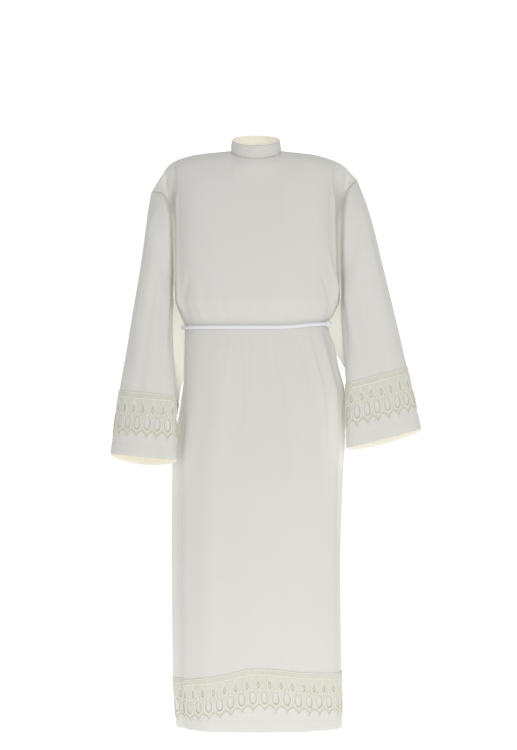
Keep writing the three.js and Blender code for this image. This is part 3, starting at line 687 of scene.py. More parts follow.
def dress_panel(grid, folds, creases, pleats, seed):
    """A body panel with its folds, creases, pleats, waves and seams."""
    share, z = np.linspace(0, 1, grid.shape[1])[None, :], grid[:, :, 2]
    from_right, from_left = edge_distances(grid)
    from_side, from_top = np.minimum(from_right, from_left), lengths_along(grid)
    away = smoothstep(from_side, 0, 0.02) * smoothstep(from_top, 0, 0.03)
    calm = smoothstep(np.abs(z - LEVELS[WAIST_LEVEL].z), *CALM_BY_CORD)
    height = fold_height(folds, share, z, FOLD_FADE) + fold_height(creases, share, z, CREASE_FADE)
    height = (height + gentle_waves(from_right, from_top, seed, PANEL_WAVES) * calm) * away
    at_seams = smoothstep(from_side, 0, 0.012) * smoothstep(from_top, 0, 0.025)
    height += sum(pleat.rise * pleat_share(grid, pleat) for pleat in pleats) * at_seams
    height += seam_dip(from_side) + seam_dip(from_top)
    return grid + grid_normals(grid, False) * height[:, :, None]


def dress_sleeve(grid, seed):
    """A sleeve with its folds, creases, waves and the puckers of its head."""
    turn = np.linspace(0, 1, grid.shape[1], endpoint=False)[None, :]
    from_top = lengths_along(grid)
    down = from_top / from_top[-1:]
    height = fold_height(SLEEVE_FOLDS, turn, down, SLEEVE_FOLD_FADE)
    height += fold_height(SLEEVE_CREASES, turn, down, SLEEVE_CREASE_FADE)
    height += gentle_waves(turn * SLEEVE_ROUND, from_top, seed, SLEEVE_WAVES)
    height *= smoothstep(from_top, 0, 0.05)
    near_tip = np.exp(-((np.minimum(turn, 1 - turn) / 0.07) ** 2))
    puckers = near_tip * np.sin(2 * math.pi * turn * PUCKERS + 1.3 * np.sin(turn * 31))
    height += PUCKER_RISE * puckers * np.exp(-from_top / 0.016) * smoothstep(from_top, 0, 0.004)
    height += seam_dip(from_top)
    return grid + grid_normals(grid, True) * height[:, :, None]


def collar_cloth():
    """The stand collar from its upper edge to the neck seam, a little wavy and full."""
    edges = (COLLAR_TOP, COLLAR)
    rows = np.stack([ring_of(neck_half(edge, -1, 60), neck_half(edge, 1, 60)) for edge in edges])
    grid = finer_rows(rows, row_places(rows), COLLAR_STEP)
    turn = np.linspace(0, 1, grid.shape[1], endpoint=False)[None, :]
    down = np.linspace(0, 1, grid.shape[0])[:, None]
    height = COLLAR_WAVES * np.sin(2 * math.pi * (turn * 9 + down * 0.7)) * np.sin(math.pi * down)
    height = height + COLLAR_SWELL * np.sin(math.pi * down) ** 0.5
    height = height + seam_dip((1 - down) * COLLAR_TALL)
    return grid + grid_normals(grid, True) * height[:, :, None]


def all_cloth():
    """Every cloth piece's grid by name, and whether it closes on itself."""
    sections = [
        body_grid(-1, ARMHOLE_RIGHT_FRONT, ARMHOLE_LEFT_FRONT),
        body_grid(1, ARMHOLE_RIGHT_BACK, ARMHOLE_LEFT_BACK),
    ]
    places = row_places(*sections)
    front, back = (finer_rows(finer_columns(rows, BODY_FINER, False), places, BODY_STEP) for rows in sections)
    underarm = round(places[ARMHOLE_ROWS] / places[-1] * (len(front) - 1)) + 1
    grids = {
        "front_panel": (dress_panel(front, FRONT_FOLDS, FRONT_CREASES, SHOULDER_PLEATS, 11), False),
        "back_panel": (dress_panel(back, BACK_FOLDS, BACK_CREASES, [], 12), False),
    }
    for side, column, rings, seed in (("right", 0, RINGS_RIGHT, 21), ("left", -1, RINGS_LEFT, 22)):
        rows = sleeve_rings(front[:underarm, column], back[:underarm, column], rings)
        fine = finer_rows(finer_columns(rows, SLEEVE_FINER, True), row_places(rows), SLEEVE_STEP)
        grids[f"{side}_sleeve"] = (dress_sleeve(fine, seed), True)
    return grids | {"neck_band": (collar_cloth(), True)}


def panel_wall(grid):
    """The wall's thickness by rows: doubled along the turned-up hem."""
    up = lengths_along(grid[::-1])[:, 0][::-1]
    return np.where(up < HEM_WIDTH, 2 * CLOTH_WALL, CLOTH_WALL)[:, None]


def faces_front(grid, closed):
    """1 where the cloth looks forward and 0 where it looks back."""
    return 1 - smoothstep(grid_normals(grid, closed)[:, :, 1], *LIT_NORMALS)


def painted_glow_on_sleeve(grid):
    """Where a sleeve gets painted glow for light coming through it: its back tucked in behind the waist, its
    head's valley.
    """
    out, y, z = np.abs(grid[:, :, 0]), grid[:, :, 1], grid[:, :, 2]
    tucked = smoothstep(y, *TUCK_Y) * (1 - smoothstep(out, *TUCK_X)) * smoothstep(z, *TUCK_Z)
    valley = (1 - smoothstep(lengths_along(grid), *LIT_BY_HEAD)) * (1 - smoothstep(z, *LIT_BELOW))
    return np.maximum(LIT_TUCK * tucked, LIT_VALLEY * valley) * faces_front(grid, True)


def painted_glow_on_panel(grid):
    """Where a panel gets painted glow for light coming through it: along its armholes, down its sides and at
    two pleats.
    """
    from_edge, z = np.minimum(*edge_distances(grid)), grid[:, :, 2]
    over_waist = smoothstep(z, *WAIST_FADE)
    armhole = (1 - smoothstep(from_edge, *LIT_BY_ARMHOLE)) * over_waist
    sides = (1 - smoothstep(from_edge, *LIT_BY_SIDE)) * (1 - over_waist)
    by_cuff = (1 - smoothstep(from_edge, *LIT_NEAR_CUFF)) * np.exp(-(((z - CUFF_Z) / CUFF_TALL) ** 2))
    painted_glow_amount = LIT_ARMHOLE * armhole + LIT_SIDES * sides + LIT_BY_CUFF * by_cuff
    painted_glow_amount *= 1 - smoothstep(z, *LIT_BELOW)
    for pleat in SHOULDER_PLEATS[::2]:
        below_seam = 1 - smoothstep(z, *LIT_PLEAT_BELOW)
        painted_glow_amount = np.maximum(painted_glow_amount, LIT_PLEAT * pleat_share(grid, pleat) * below_seam)
    return painted_glow_amount * faces_front(grid, False)


# Meshes

def in_scene(name, data):
    """A new object in the scene."""
    thing = bpy.data.objects.new(name, data)
    scene.collection.objects.link(thing)
    return thing


def new_mesh(name, vertices, edges, faces):
    mesh = bpy.data.meshes.new(name)
    mesh.from_pydata(np.asarray(vertices).tolist(), edges, faces)
    mesh.polygons.foreach_set("use_smooth", [True] * len(mesh.polygons))
    return mesh


def new_piece(name, vertices, faces, material):
    mesh = new_mesh(name, vertices, [], faces)
    mesh.materials.append(material)
    return in_scene(name, mesh)


def set_uv(mesh, name, values):
    """values: one pair for each vertex."""
    layer = mesh.uv_layers.new(name=name)
    corners = np.empty(len(mesh.loops), int)
    mesh.loops.foreach_get("vertex_index", corners)
    layer.data.foreach_set("uv", np.asarray(values)[corners].astype(np.float32).ravel())


def set_attribute(mesh, name, values):
    attribute = mesh.attributes.new(name, "FLOAT", "POINT")
    attribute.data.foreach_set("value", np.asarray(values, np.float32).ravel())


def map_of(across, down):
    """One pair for each point of a grid, from its columns' and its rows' places."""
    return np.stack(np.broadcast_arrays(across[None, :], down[:, None]), axis=2).reshape(-1, 2)


def quads(rows, columns, closed):
    last = columns if closed else columns - 1
    places = [(i * columns, j, (j + 1) % columns) for i in range(rows - 1) for j in range(last)]
    return [(a + j, a + columns + j, a + columns + k, a + k) for a, j, k in places]


def facing_out(vertices, faces, normals):
    """The faces, all turned over if they look against their vertices' normals."""
    a, b, c = np.array([face[:3] for face in faces[:: max(1, len(faces) // 400)]]).T
    turned = np.cross(vertices[b] - vertices[a], vertices[c] - vertices[a])
    if np.sum(turned * normals[a]) > 0:
        return faces
    return [face[::-1] for face in faces]


def thin_wall(outer, inner, faces):
    """Vertices and faces of a closed wall between two layers that share their faces."""
    count, single = len(outer), {}
    for face in faces:
        for edge in zip(face, face[1:] + face[:1]):
            if edge[::-1] in single:
                del single[edge[::-1]]
            else:
                single[edge] = True
    rims = [(b, a, a + count, b + count) for a, b in single]
    inside = [tuple(corner + count for corner in face[::-1]) for face in faces]
    return np.concatenate([outer, inner]), faces + inside + rims


def shell(name, grid, closed, wall, material, through=0):
    """A closed thin wall: the grid outside, the same moved in by wall, and the rims. through says
    where the cloth gets a painted glow that stands in for light from behind coming through it."""
    rows, columns = grid.shape[:2]
    normals = grid_normals(grid, closed)
    inside = grid - normals * np.broadcast_to(wall, (rows, 1))[:, :, None]
    outer, inner, normals = (field.reshape(-1, 3) for field in (grid, inside, normals))
    faces = facing_out(outer, quads(rows, columns, closed), normals)
    piece = new_piece(name, *thin_wall(outer, inner, faces), material)
    uv = map_of(lengths_along(grid, 1).mean(axis=0), lengths_along(grid).mean(axis=1))
    set_uv(piece.data, "cloth", np.concatenate([uv, uv]))
    painted_glow_amount = np.broadcast_to(through, (rows, columns)).ravel()
    set_attribute(piece.data, "inner_side", np.repeat([0.0, 1.0], len(outer)))
    set_attribute(piece.data, "painted_glow", np.concatenate([painted_glow_amount, np.full(len(outer), INNER_PAINTED_GLOW)]))
    return piece


# Lace: its plan, its ground and its threads

def wave_across(share):
    """Heights of the lace's lower edge: points at whole shares and valleys between them."""
    from_point = np.abs(share - np.round(share))
    return 0.87 + 0.13 * np.clip(1 - from_point / 0.5, 0, 1) ** 1.6


def drop_loop(middle, top, foot, half_width, widest, points=26):
    """A teardrop's outline, pointed at its top: across in repeats, down in shares of the height."""
    turn = np.linspace(0, 2 * math.pi, points, endpoint=False)
    rise = (1 - np.cos(turn)) / 2
    across = np.sin(turn) * (1 - widest + widest * rise) / (1 - widest / 3)
    return np.stack([middle + half_width * across, top + (foot - top) * rise], axis=1)


def is_inside(loop, points):
    """Which points lie inside a closed outline."""
    inside = np.zeros(len(points), bool)
    for (ax, ay), (bx, by) in zip(loop, np.roll(loop, -1, axis=0)):
        crosses = (ay > points[:, 1]) != (by > points[:, 1])
        with np.errstate(divide="ignore", invalid="ignore"):
            meets = (bx - ax) * (points[:, 1] - ay) / (by - ay) + ax
        inside ^= crosses & (points[:, 0] < meets)
    return inside


def ground_plan():
    """Triangles of one repeat of the lace's ground, from a quarter before its point."""
    gaps = [drop_loop(*OVAL_GAP), drop_loop(*ARCH_GAP)]
    left, right = -0.25, 0.75
    heights, columns = np.linspace(0, 1, 33), np.linspace(left, right, 11)[1:-1]
    side = wave_across(left) * heights[:-1]
    low_x = np.linspace(left, right, 41)
    outline = [(left, y) for y in side]
    outline += zip(low_x, wave_across(low_x))
    outline += [(right, y) for y in side[::-1]]
    outline += [(x, 0) for x in columns[::-1]]
    inner = np.stack(np.meshgrid(columns, heights[1:-1]), axis=-1).reshape(-1, 2)
    keep = inner[:, 1] < wave_across(inner[:, 0]) - 0.02
    for gap in gaps:
        middle = gap.mean(axis=0)
        keep &= ~is_inside(middle + (gap - middle) * 1.12, inner)
    points, edges = [], []
    for loop in (np.array(outline), *gaps):
        first, count = len(points), len(loop)
        points.extend(loop.tolist())
        edges.extend((first + i, first + (i + 1) % count) for i in range(count))
    points.extend(inner[keep].tolist())
    found = delaunay_2d_cdt(points, edges, [], 0, 1e-6)
    corners, faces = np.array([tuple(point) for point in found[0]]), np.array(found[2])
    middles = corners[faces].mean(axis=1)
    inside = is_inside(np.array(outline), middles)
    for gap in gaps:
        inside &= ~is_inside(gap, middles)
    return corners, faces[inside]


def strip_on(columns, up_at, tall, repeats):
    """The cloth under a closed edging, by columns round it and by shares of its height."""
    shares = np.linspace(STRIP_LOW, STRIP_HIGH, STRIP_STEPS + 1)
    points = np.empty((STRIP_STEPS + 1, len(columns), 3))
    for j, column in enumerate(columns):
        ups = up_at(j / len(columns)) + tall * (1 - shares)
        points[:, j] = points_at(ups, lengths_along(column), column)
    return Strip(points, grid_normals(points, True), repeats)


def on_strip(strip, across, down):
    """Points and normals of a strip: across in repeats from its first valley, down in shares."""
    rows, count = strip.points.shape[:2]
    u = (across / strip.repeats % 1) * count
    v = (down - STRIP_LOW) / (STRIP_HIGH - STRIP_LOW) * (rows - 1)
    j, i = np.floor(u).astype(int), np.clip(np.floor(v).astype(int), 0, rows - 2)
    s, t = (u - j)[:, None], (v - i)[:, None]
    j, k = j % count, (j + 1) % count
    both = []
    for field in (strip.points, strip.normals):
        upper = field[i, j] * (1 - s) + field[i, k] * s
        lower = field[i + 1, j] * (1 - s) + field[i + 1, k] * s
        both.append(upper * (1 - t) + lower * t)
    both[1] /= np.linalg.norm(both[1], axis=1, keepdims=True)
    return both


def lace_ground(name, strip, tall, material):
    """The closed ground of an edging with its gaps cut through."""
    corners, plan = ground_plan()
    places, faces, known = [], [], {}
    for repeat in range(strip.repeats):
        ids = []
        for x, y in corners:
            place = (repeat + 0.5 + x) % strip.repeats
            key = (round(place * SAME_PLACE) % (strip.repeats * SAME_PLACE), round(y * SAME_PLACE * 10))
            if key not in known:
                known[key] = len(places)
                places.append((place, y))
            ids.append(known[key])
        faces.extend(tuple(ids[corner] for corner in face) for face in plan)
    across, down = np.array(places).T
    points, normals = on_strip(strip, across, down)
    outer, inner = points + normals * (LACE_LIFT + LACE_GROUND), points + normals * LACE_LIFT
    piece = new_piece(name, *thin_wall(outer, inner, facing_out(outer, faces, normals)), material)
    pitch = lengths_along(strip.points[0])[-1] / strip.repeats
    uv = np.stack([across * pitch, down * tall], axis=1)
    set_uv(piece.data, "cloth", np.concatenate([uv, uv]))
    return piece


def thread_lines():
    """One repeat's threads, from valley to valley with the point at 0: the line, whether it is
    closed, and its thickness."""
    fine_x, low_x = np.linspace(-0.5, 0.5, 25), np.linspace(-0.5, 0.5, 23)
    wave = 0.072 - 0.035 * np.cos(2 * math.pi * 3 * fine_x)
    edge = wave_across(low_x)
    lines = [
        (np.linspace((-0.5, 0.012), (0.5, 0.012), 9), 1),
        (np.linspace((-0.5, 0.132), (0.5, 0.132), 9), 1),
        (np.stack([fine_x, wave], axis=1), 0.85),
        (np.linspace((0.5, 0.2), (0.5, 0.26), 9), 1),
        (np.stack([low_x, edge - 0.008], axis=1), 1),
        (np.stack([low_x, edge - 0.045], axis=1), THIN_THREAD),
    ]
    for leg, thickness in ((ARCH_LEG, 1), (ARCH_INNER_LEG, THIN_THREAD)):
        lines += [(np.array(leg), thickness), (np.array(leg) * (-1, 1), thickness)]
    loops = [(drop_loop(*loop), True, thickness) for loop, thickness in THREAD_LOOPS]
    return [(line, False, thickness) for line, thickness in lines] + loops


def thread_motif():
    """One repeat's threads as lines, with their thickness at each point."""
    vertices, edges, thicknesses = [], [], []
    for line, closed, thickness in thread_lines():
        first, count = len(vertices), len(line)
        vertices.extend((x, y, 0) for x, y in line)
        thicknesses.extend([thickness] * count)
        edges.extend((first + i, first + (i + 1) % count) for i in range(count if closed else count - 1))
    mesh = new_mesh("thread_motif", vertices, edges, [])
    set_attribute(mesh, "thickness", thicknesses)
    return in_scene("thread_motif", mesh)


def strip_object(strip):
    """The strip as a mesh whose map is in repeats across and shares down, a little past its ends."""
    rows, count = strip.points.shape[:2]
    extra = count // strip.repeats
    order = np.arange(-extra, count + extra + 1)
    points, normals = (field[:, order % count].reshape(-1, 3) for field in (strip.points, strip.normals))
    faces = facing_out(points, quads(rows, len(order), False), normals)
    mesh = new_mesh("strip", points, [], faces)
    set_uv(mesh, "strip", map_of(order / count, np.linspace(STRIP_LOW, STRIP_HIGH, rows)))
    return in_scene("strip", mesh)


# Nodes

def fill(socket, value):
    """Sets an input to a value, or links it from an output."""
    if isinstance(value, bpy.types.NodeSocket):
        socket.id_data.links.new(value, socket)
    else:
        socket.default_value = value


def add_node(tree, kind, values=None, **settings):
    """A node with its settings, and its inputs filled."""
    node = tree.nodes.new(kind)
    for key, value in settings.items():
        setattr(node, key, value)
    for key, value in (values or {}).items():
        fill(node.inputs[key], value)
    return node


def adder(tree):
    """A call that adds a node to the tree and gives its first output."""
    return lambda kind, values=None, **settings: add_node(tree, kind, values, **settings).outputs[0]


def new_tree(name, **inputs):
    """A geometry node tree with its named inputs, the call that adds nodes to it, and the inputs."""
    tree = bpy.data.node_groups.new(name, "GeometryNodeTree")
    tree.interface.new_socket("Geometry", in_out="OUTPUT", socket_type="NodeSocketGeometry")
    for label, kind in {"Geometry": "Geometry", **inputs, "Finish": "Material"}.items():
        tree.interface.new_socket(label, in_out="INPUT", socket_type="NodeSocket" + kind)
    return tree, adder(tree), add_node(tree, "NodeGroupInput").outputs


def finished(tree, geometry, finish):
    """Gives a tree's result its material and puts it out."""
    painted = adder(tree)("GeometryNodeSetMaterial", {0: geometry, "Material": finish})
    add_node(tree, "NodeGroupOutput", {0: painted})
    return tree


def run_tree(tree, base, name, values):
    """Runs a tree on an object, keeps the result as a plain mesh and removes the object."""
    modifier = base.modifiers.new("tree", "NODES")
    modifier.node_group = tree
    for item in tree.interface.items_tree:
        if item.item_type == "SOCKET" and item.name in values:
            modifier[item.identifier] = values[item.name]
    bpy.context.view_layer.update()
    evaluated = base.evaluated_get(bpy.context.evaluated_depsgraph_get())
    mesh = bpy.data.meshes.new_from_object(evaluated)
    mesh.name = name
    mesh.polygons.foreach_set("use_smooth", [True] * len(mesh.polygons))
    bpy.data.objects.remove(base)
    return in_scene(name, mesh)


def thread_tree():
    """Lays the motif along a strip, repeat by repeat, and makes round threads of its lines."""
    inputs = {"Motif": "Object", "Repeats": "Int", "Lift": "Float", "Radius": "Float"}
    tree, add, given = new_tree("lace_threads", **inputs)
    motif = add_node(tree, "GeometryNodeObjectInfo", {"Object": given["Motif"]}).outputs["Geometry"]
    row = {"Count": given["Repeats"], "Start Location": (0.5, 0, 0), "Offset": (1, 0, 0)}
    line = add("GeometryNodeMeshLine", row)
    placed = add("GeometryNodeInstanceOnPoints", {"Points": line, "Instance": motif})
    real = add("GeometryNodeRealizeInstances", {0: placed})
    parts = add_node(tree, "ShaderNodeSeparateXYZ", {0: add("GeometryNodeInputPosition")}).outputs
    share = add("ShaderNodeMath", {0: parts["X"], 1: given["Repeats"]}, operation="DIVIDE")
    wanted = add("ShaderNodeCombineXYZ", {"X": share, "Y": parts["Y"]})
    uv = add("GeometryNodeInputNamedAttribute", {"Name": "strip"}, data_type="FLOAT_VECTOR")
    on_map = {"Mesh": given["Geometry"], "Source UV Map": uv, "Sample UV": wanted}
    point, normal = (
        add("GeometryNodeSampleUVSurface", on_map | {"Value": add(field)}, data_type="FLOAT_VECTOR")
        for field in ("GeometryNodeInputPosition", "GeometryNodeInputNormal")
    )
    lifted = add("ShaderNodeVectorMath", {0: normal, "Scale": given["Lift"]}, operation="SCALE")
    final = add("ShaderNodeVectorMath", {0: point, 1: lifted}, operation="ADD")
    moved = add("GeometryNodeSetPosition", {"Geometry": real, "Position": final})
    curve = add("GeometryNodeMeshToCurve", {0: moved})
    thickness = add("GeometryNodeInputNamedAttribute", {"Name": "thickness"}, data_type="FLOAT")
    sized = add("GeometryNodeSetCurveRadius", {0: curve, "Radius": thickness})
    profile = add("GeometryNodeCurvePrimitiveCircle", {"Resolution": 5, "Radius": given["Radius"]})
    tube = {0: sized, "Profile Curve": profile, "Scale": thickness, "Fill Caps": True}
    return finished(tree, add("GeometryNodeCurveToMesh", tube), given["Finish"])


def stitch_tree():
    """Sets a small long ball on a line at every step, turned along it."""
    tree, add, given = new_tree("stitch_line", Spacing="Float", Length="Float", Radius="Float")
    curve = add("GeometryNodeMeshToCurve", {0: given["Geometry"]})
    spread = add("GeometryNodeResampleCurve", {"Curve": curve, "Length": given["Spacing"]}, mode="LENGTH")
    ball = add("GeometryNodeMeshUVSphere", {"Segments": 6, "Rings": 3, "Radius": 1.0})
    half = add("ShaderNodeMath", {0: given["Length"], 1: 0.5}, operation="MULTIPLY")
    size = add("ShaderNodeCombineXYZ", {"X": half, "Y": given["Radius"], "Z": given["Radius"]})
    stitch = add("GeometryNodeTransform", {0: ball, "Scale": size})
    tangent = add("GeometryNodeInputTangent")
    turned = add("FunctionNodeAlignRotationToVector", {"Vector": tangent}, axis="X")
    placed = add("GeometryNodeInstanceOnPoints", {"Points": spread, "Instance": stitch, "Rotation": turned})
    return finished(tree, add("GeometryNodeRealizeInstances", {0: placed}), given["Finish"])


def line_on(grid, closed, up):
    """A line of points just over the cloth, a given way up from a panel's lower edge."""
    from_foot = lengths_along(grid[::-1])
    standing = (grid + STITCH_LIFT * grid_normals(grid, closed))[::-1]
    points = [points_at(up, from_foot[:, j], standing[:, j]) for j in range(grid.shape[1])]
    return np.array(points + points[:1] if closed else points)


def stitches(name, lines, tree, material):
    """Stitches along lines of points that lie on the cloth."""
    vertices, edges = [], []
    for line in lines:
        first = len(vertices)
        vertices.extend(line.tolist())
        edges.extend((first + i, first + i + 1) for i in range(len(line) - 1))
    base = in_scene("stitch_lines", new_mesh("stitch_lines", vertices, edges, []))
    return run_tree(tree, base, name, STITCH_SIZES | {"Finish": material})


# The cincture

def waist_loop():
    """The cord's closed centre line, just clear of the cloth, in equal steps from the wearer's right."""
    level = LEVELS[WAIST_LEVEL]
    ring = ring_of(level_half(level, -1), level_half(level, 1))
    ahead = np.roll(ring, -1, axis=0) - np.roll(ring, 1, axis=0)
    outward = np.stack([-ahead[:, 1], ahead[:, 0], np.zeros(len(ring))], axis=1)
    outward *= -np.sign(np.sum(outward * ring * (1, 1, 0)))
    outward /= -np.linalg.norm(outward, axis=1, keepdims=True)
    line = finer_columns((ring + outward * (CORD_RADIUS + CORD_CLEAR))[None], 8, True)[0]
    return np.concatenate([line, line[:1]])


def twisted_tube(name, path, radii, twist, material):
    """A closed tube along a path, lobed by its strands, flat at its ends."""
    rows, sides = len(path), 5 * CORD_STRANDS
    ahead = np.gradient(path, axis=0)
    ahead /= np.linalg.norm(ahead, axis=1, keepdims=True)
    outward = np.cross(ahead, (0, 0, 1))
    outward /= np.linalg.norm(outward, axis=1, keepdims=True)
    over = np.cross(outward, ahead)
    centre = path + outward * (radii - CORD_RADIUS)[:, None]
    angle = 2 * math.pi * np.arange(sides) / sides
    along = lengths_along(path)
    turn = 2 * math.pi * along[:, None] / twist
    lobes = np.abs(np.cos(CORD_STRANDS / 2 * (angle - turn))) ** 0.7
    radius = radii[:, None] * (1 - STRAND_DEPTH + STRAND_DEPTH * lobes)
    spokes = outward[:, None] * (np.cos(angle) * radius)[:, :, None]
    spokes += over[:, None] * (np.sin(angle) * radius)[:, :, None]
    rings = (centre[:, None] + spokes).reshape(-1, 3)
    vertices = np.concatenate([rings, centre[:1], centre[-1:]])
    normals = np.concatenate([spokes.reshape(-1, 3), -ahead[:1], ahead[-1:]])
    start, end, last = rows * sides, rows * sides + 1, (rows - 1) * sides
    faces = quads(rows, sides, True)
    for j in range(sides):
        k = (j + 1) % sides
        faces += [(start, j, k), (end, last + k, last + j)]
    piece = new_piece(name, vertices, facing_out(vertices, faces, normals), material)
    uv = map_of(angle * CORD_RADIUS, along)[:, ::-1]
    set_uv(piece.data, "cloth", np.concatenate([uv, uv[:1], uv[-1:]]))
    return piece


def make_cincture(material):
    """The cord with its path, and its knot, both on the closed line round the waist."""
    loop = waist_loop()
    length = lengths_along(loop)[-1]
    twice = np.concatenate([loop, loop[1:]])
    knot_to = 0.5 - KNOT_BEFORE_SIDE / length
    knot_from = knot_to - KNOT_LENGTH / length
    start, end = knot_to + CORD_OUT_OF_KNOT / length, knot_from + 1 - CORD_OUT_OF_KNOT / length
    path = resample(twice, np.linspace(start / 2, end / 2, CORD_POINTS))
    cord = twisted_tube("cincture_cord", path, np.full(CORD_POINTS, CORD_RADIUS), CORD_TWIST, material)
    share = np.linspace(0, 1, KNOT_POINTS)
    knot_path = resample(twice, (knot_from + (knot_to - knot_from) * share) / 2)
    swell = np.abs(np.sin(2 * math.pi * share)) ** 0.6
    radii = CORD_RADIUS + (KNOT_RADIUS - CORD_RADIUS) * swell
    return cord, path, twisted_tube("cincture_tie", knot_path, radii, CORD_TWIST / 2, material)


# Finishes

def weave_height(tree, thread):
    """A plain weave on the cloth's map: how high the threads stand, from 0 to 1."""
    add = adder(tree)
    parts = add_node(tree, "ShaderNodeSeparateXYZ", {0: add("ShaderNodeUVMap", uv_map="cloth")}).outputs
    waves = []
    for axis in ("X", "Y"):
        angle = add("ShaderNodeMath", {0: parts[axis], 1: math.pi / thread}, operation="MULTIPLY")
        waves.append(add("ShaderNodeMath", {0: angle}, operation="SINE"))
    both = add("ShaderNodeMath", {0: waves[0], 1: waves[1]}, operation="MULTIPLY")
    return add("ShaderNodeMath", {0: both, 1: 0.5, 2: 0.5}, operation="MULTIPLY_ADD")


def net_threads(tree, size):
    """A fine net on the lace's map: 1 on its threads and 0 in its holes."""
    add = adder(tree)
    inputs = {"Vector": add("ShaderNodeUVMap", uv_map="cloth"), "Scale": 1 / size, "Randomness": 0.15}
    cells = add("ShaderNodeTexVoronoi", inputs, voronoi_dimensions="2D", feature="DISTANCE_TO_EDGE")
    fade = {"Value": cells, "From Min": 0.1, "From Max": 0.22, "To Min": 1.0, "To Max": 0.0}
    return add("ShaderNodeMapRange", fade)


def new_material(name, roughness, sheen):
    """A material, the call that adds nodes to it, and its shader's inputs."""
    material = bpy.data.materials.new(name)
    material.use_nodes = True
    inputs = material.node_tree.nodes["Principled BSDF"].inputs
    inputs["Roughness"].default_value = roughness
    inputs["Sheen Weight"].default_value = sheen
    inputs["Sheen Roughness"].default_value = 0.5
    inputs["Specular IOR Level"].default_value = 0.25
    return material, adder(material.node_tree), inputs


def add_bump(add, inputs, height, distance, strength):
    bump = add("ShaderNodeBump", {"Height": height, "Distance": distance, "Strength": strength})
    fill(inputs["Normal"], bump)


def mixed(tree, factor, first, second):
    """A colour between two, each a colour or an output."""
    node = add_node(tree, "ShaderNodeMix", {"Factor": factor}, data_type="RGBA")
    for place, value in ((6, first), (7, second)):
        fill(node.inputs[place], (*value, 1) if isinstance(value, tuple) else value)
    return node.outputs[2]


def cloth_material():
    material, add, inputs = new_material("off_white_cloth", 0.88, 0.12)
    tree = material.node_tree
    place = add_node(tree, "ShaderNodeTexCoord").outputs["Object"]
    tone = add("ShaderNodeTexNoise", {"Vector": place, "Scale": 5.0, "Detail": 3.0})
    face = mixed(tree, tone, *CLOTH_TONES)
    side, through = (
        add_node(tree, "ShaderNodeAttribute", attribute_name=name).outputs["Fac"]
        for name in ("inner_side", "painted_glow")
    )
    # Inner faces painted a paler cream, as if lit through the cloth
    fill(inputs["Base Color"], mixed(tree, side, face, CLOTH_INSIDE_PAINTED_LIGHT))
    # Painted glow where light from behind would come through the cloth
    fill(inputs["Emission Color"], mixed(tree, through, (0, 0, 0), PAINTED_GLOW_TONE))
    inputs["Emission Strength"].default_value = 0.5
    add_bump(add, inputs, weave_height(tree, THREAD_PITCH), 0.0001, 0.5)
    return material


def lace_material():
    material, add, inputs = new_material("cream_lace_ground", 0.8, 0.1)
    threads = net_threads(material.node_tree, NET_CELL)
    # The net's holes are darker: partly the cloth under them, partly painted shade
    fill(inputs["Base Color"], mixed(material.node_tree, threads, *LACE_TONES))
    add_bump(add, inputs, threads, 0.0003, 0.8)
    return material


def thread_material():
    """Pale on the thick threads and beige on the thin ones inside them: the thin threads are real, their
    beige is painted shadow, the shadow line beside each raised thread.
    """
    material, add, inputs = new_material("cream_lace_thread", 0.55, 0.1)
    tree = material.node_tree
    place = add_node(tree, "ShaderNodeTexCoord").outputs["Object"]
    tone = add("ShaderNodeTexNoise", {"Vector": place, "Scale": 60.0, "Detail": 2.0})
    pale = mixed(tree, tone, *THREAD_TONES)
    thickness = add_node(tree, "ShaderNodeAttribute", attribute_name="thickness").outputs["Fac"]
    thick = add("ShaderNodeMapRange", {"Value": thickness, "From Min": THIN_THREAD})
    fill(inputs["Base Color"], mixed(tree, thick, THIN_THREAD_SHADOW_TONE, pale))
    fine = add("ShaderNodeTexNoise", {"Vector": place, "Scale": 1600.0, "Detail": 1.0})
    add_bump(add, inputs, fine, 0.0002, 0.5)
    return material


def cord_material():
    material, add, inputs = new_material("white_cord", 0.5, 0.15)
    tree = material.node_tree
    waves = {"Vector": add("ShaderNodeUVMap", uv_map="cloth"), "Scale": 260.0, "Distortion": 1.0}
    grain = add_node(tree, "ShaderNodeTexWave", waves, bands_direction="DIAGONAL").outputs["Fac"]
    fill(inputs["Base Color"], mixed(tree, grain, *CORD_TONES))
    add_bump(add, inputs, grain, 0.0002, 0.5)
    return material


# Floor, backdrop and light

def pale_world():
    """A white surround to the camera, and a softer one as light."""
    world = bpy.data.worlds.new("pale_surround")
    scene.world = world
    world.use_nodes = True
    inputs = world.node_tree.nodes["Background"].inputs
    inputs["Color"].default_value = (1, 0.995, 0.98, 1)
    seen = add_node(world.node_tree, "ShaderNodeLightPath").outputs["Is Camera Ray"]
    strength = {"Value": seen, "To Min": WORLD_LIGHT, "To Max": WORLD_SEEN}
    fill(inputs["Strength"], adder(world.node_tree)("ShaderNodeMapRange", strength))


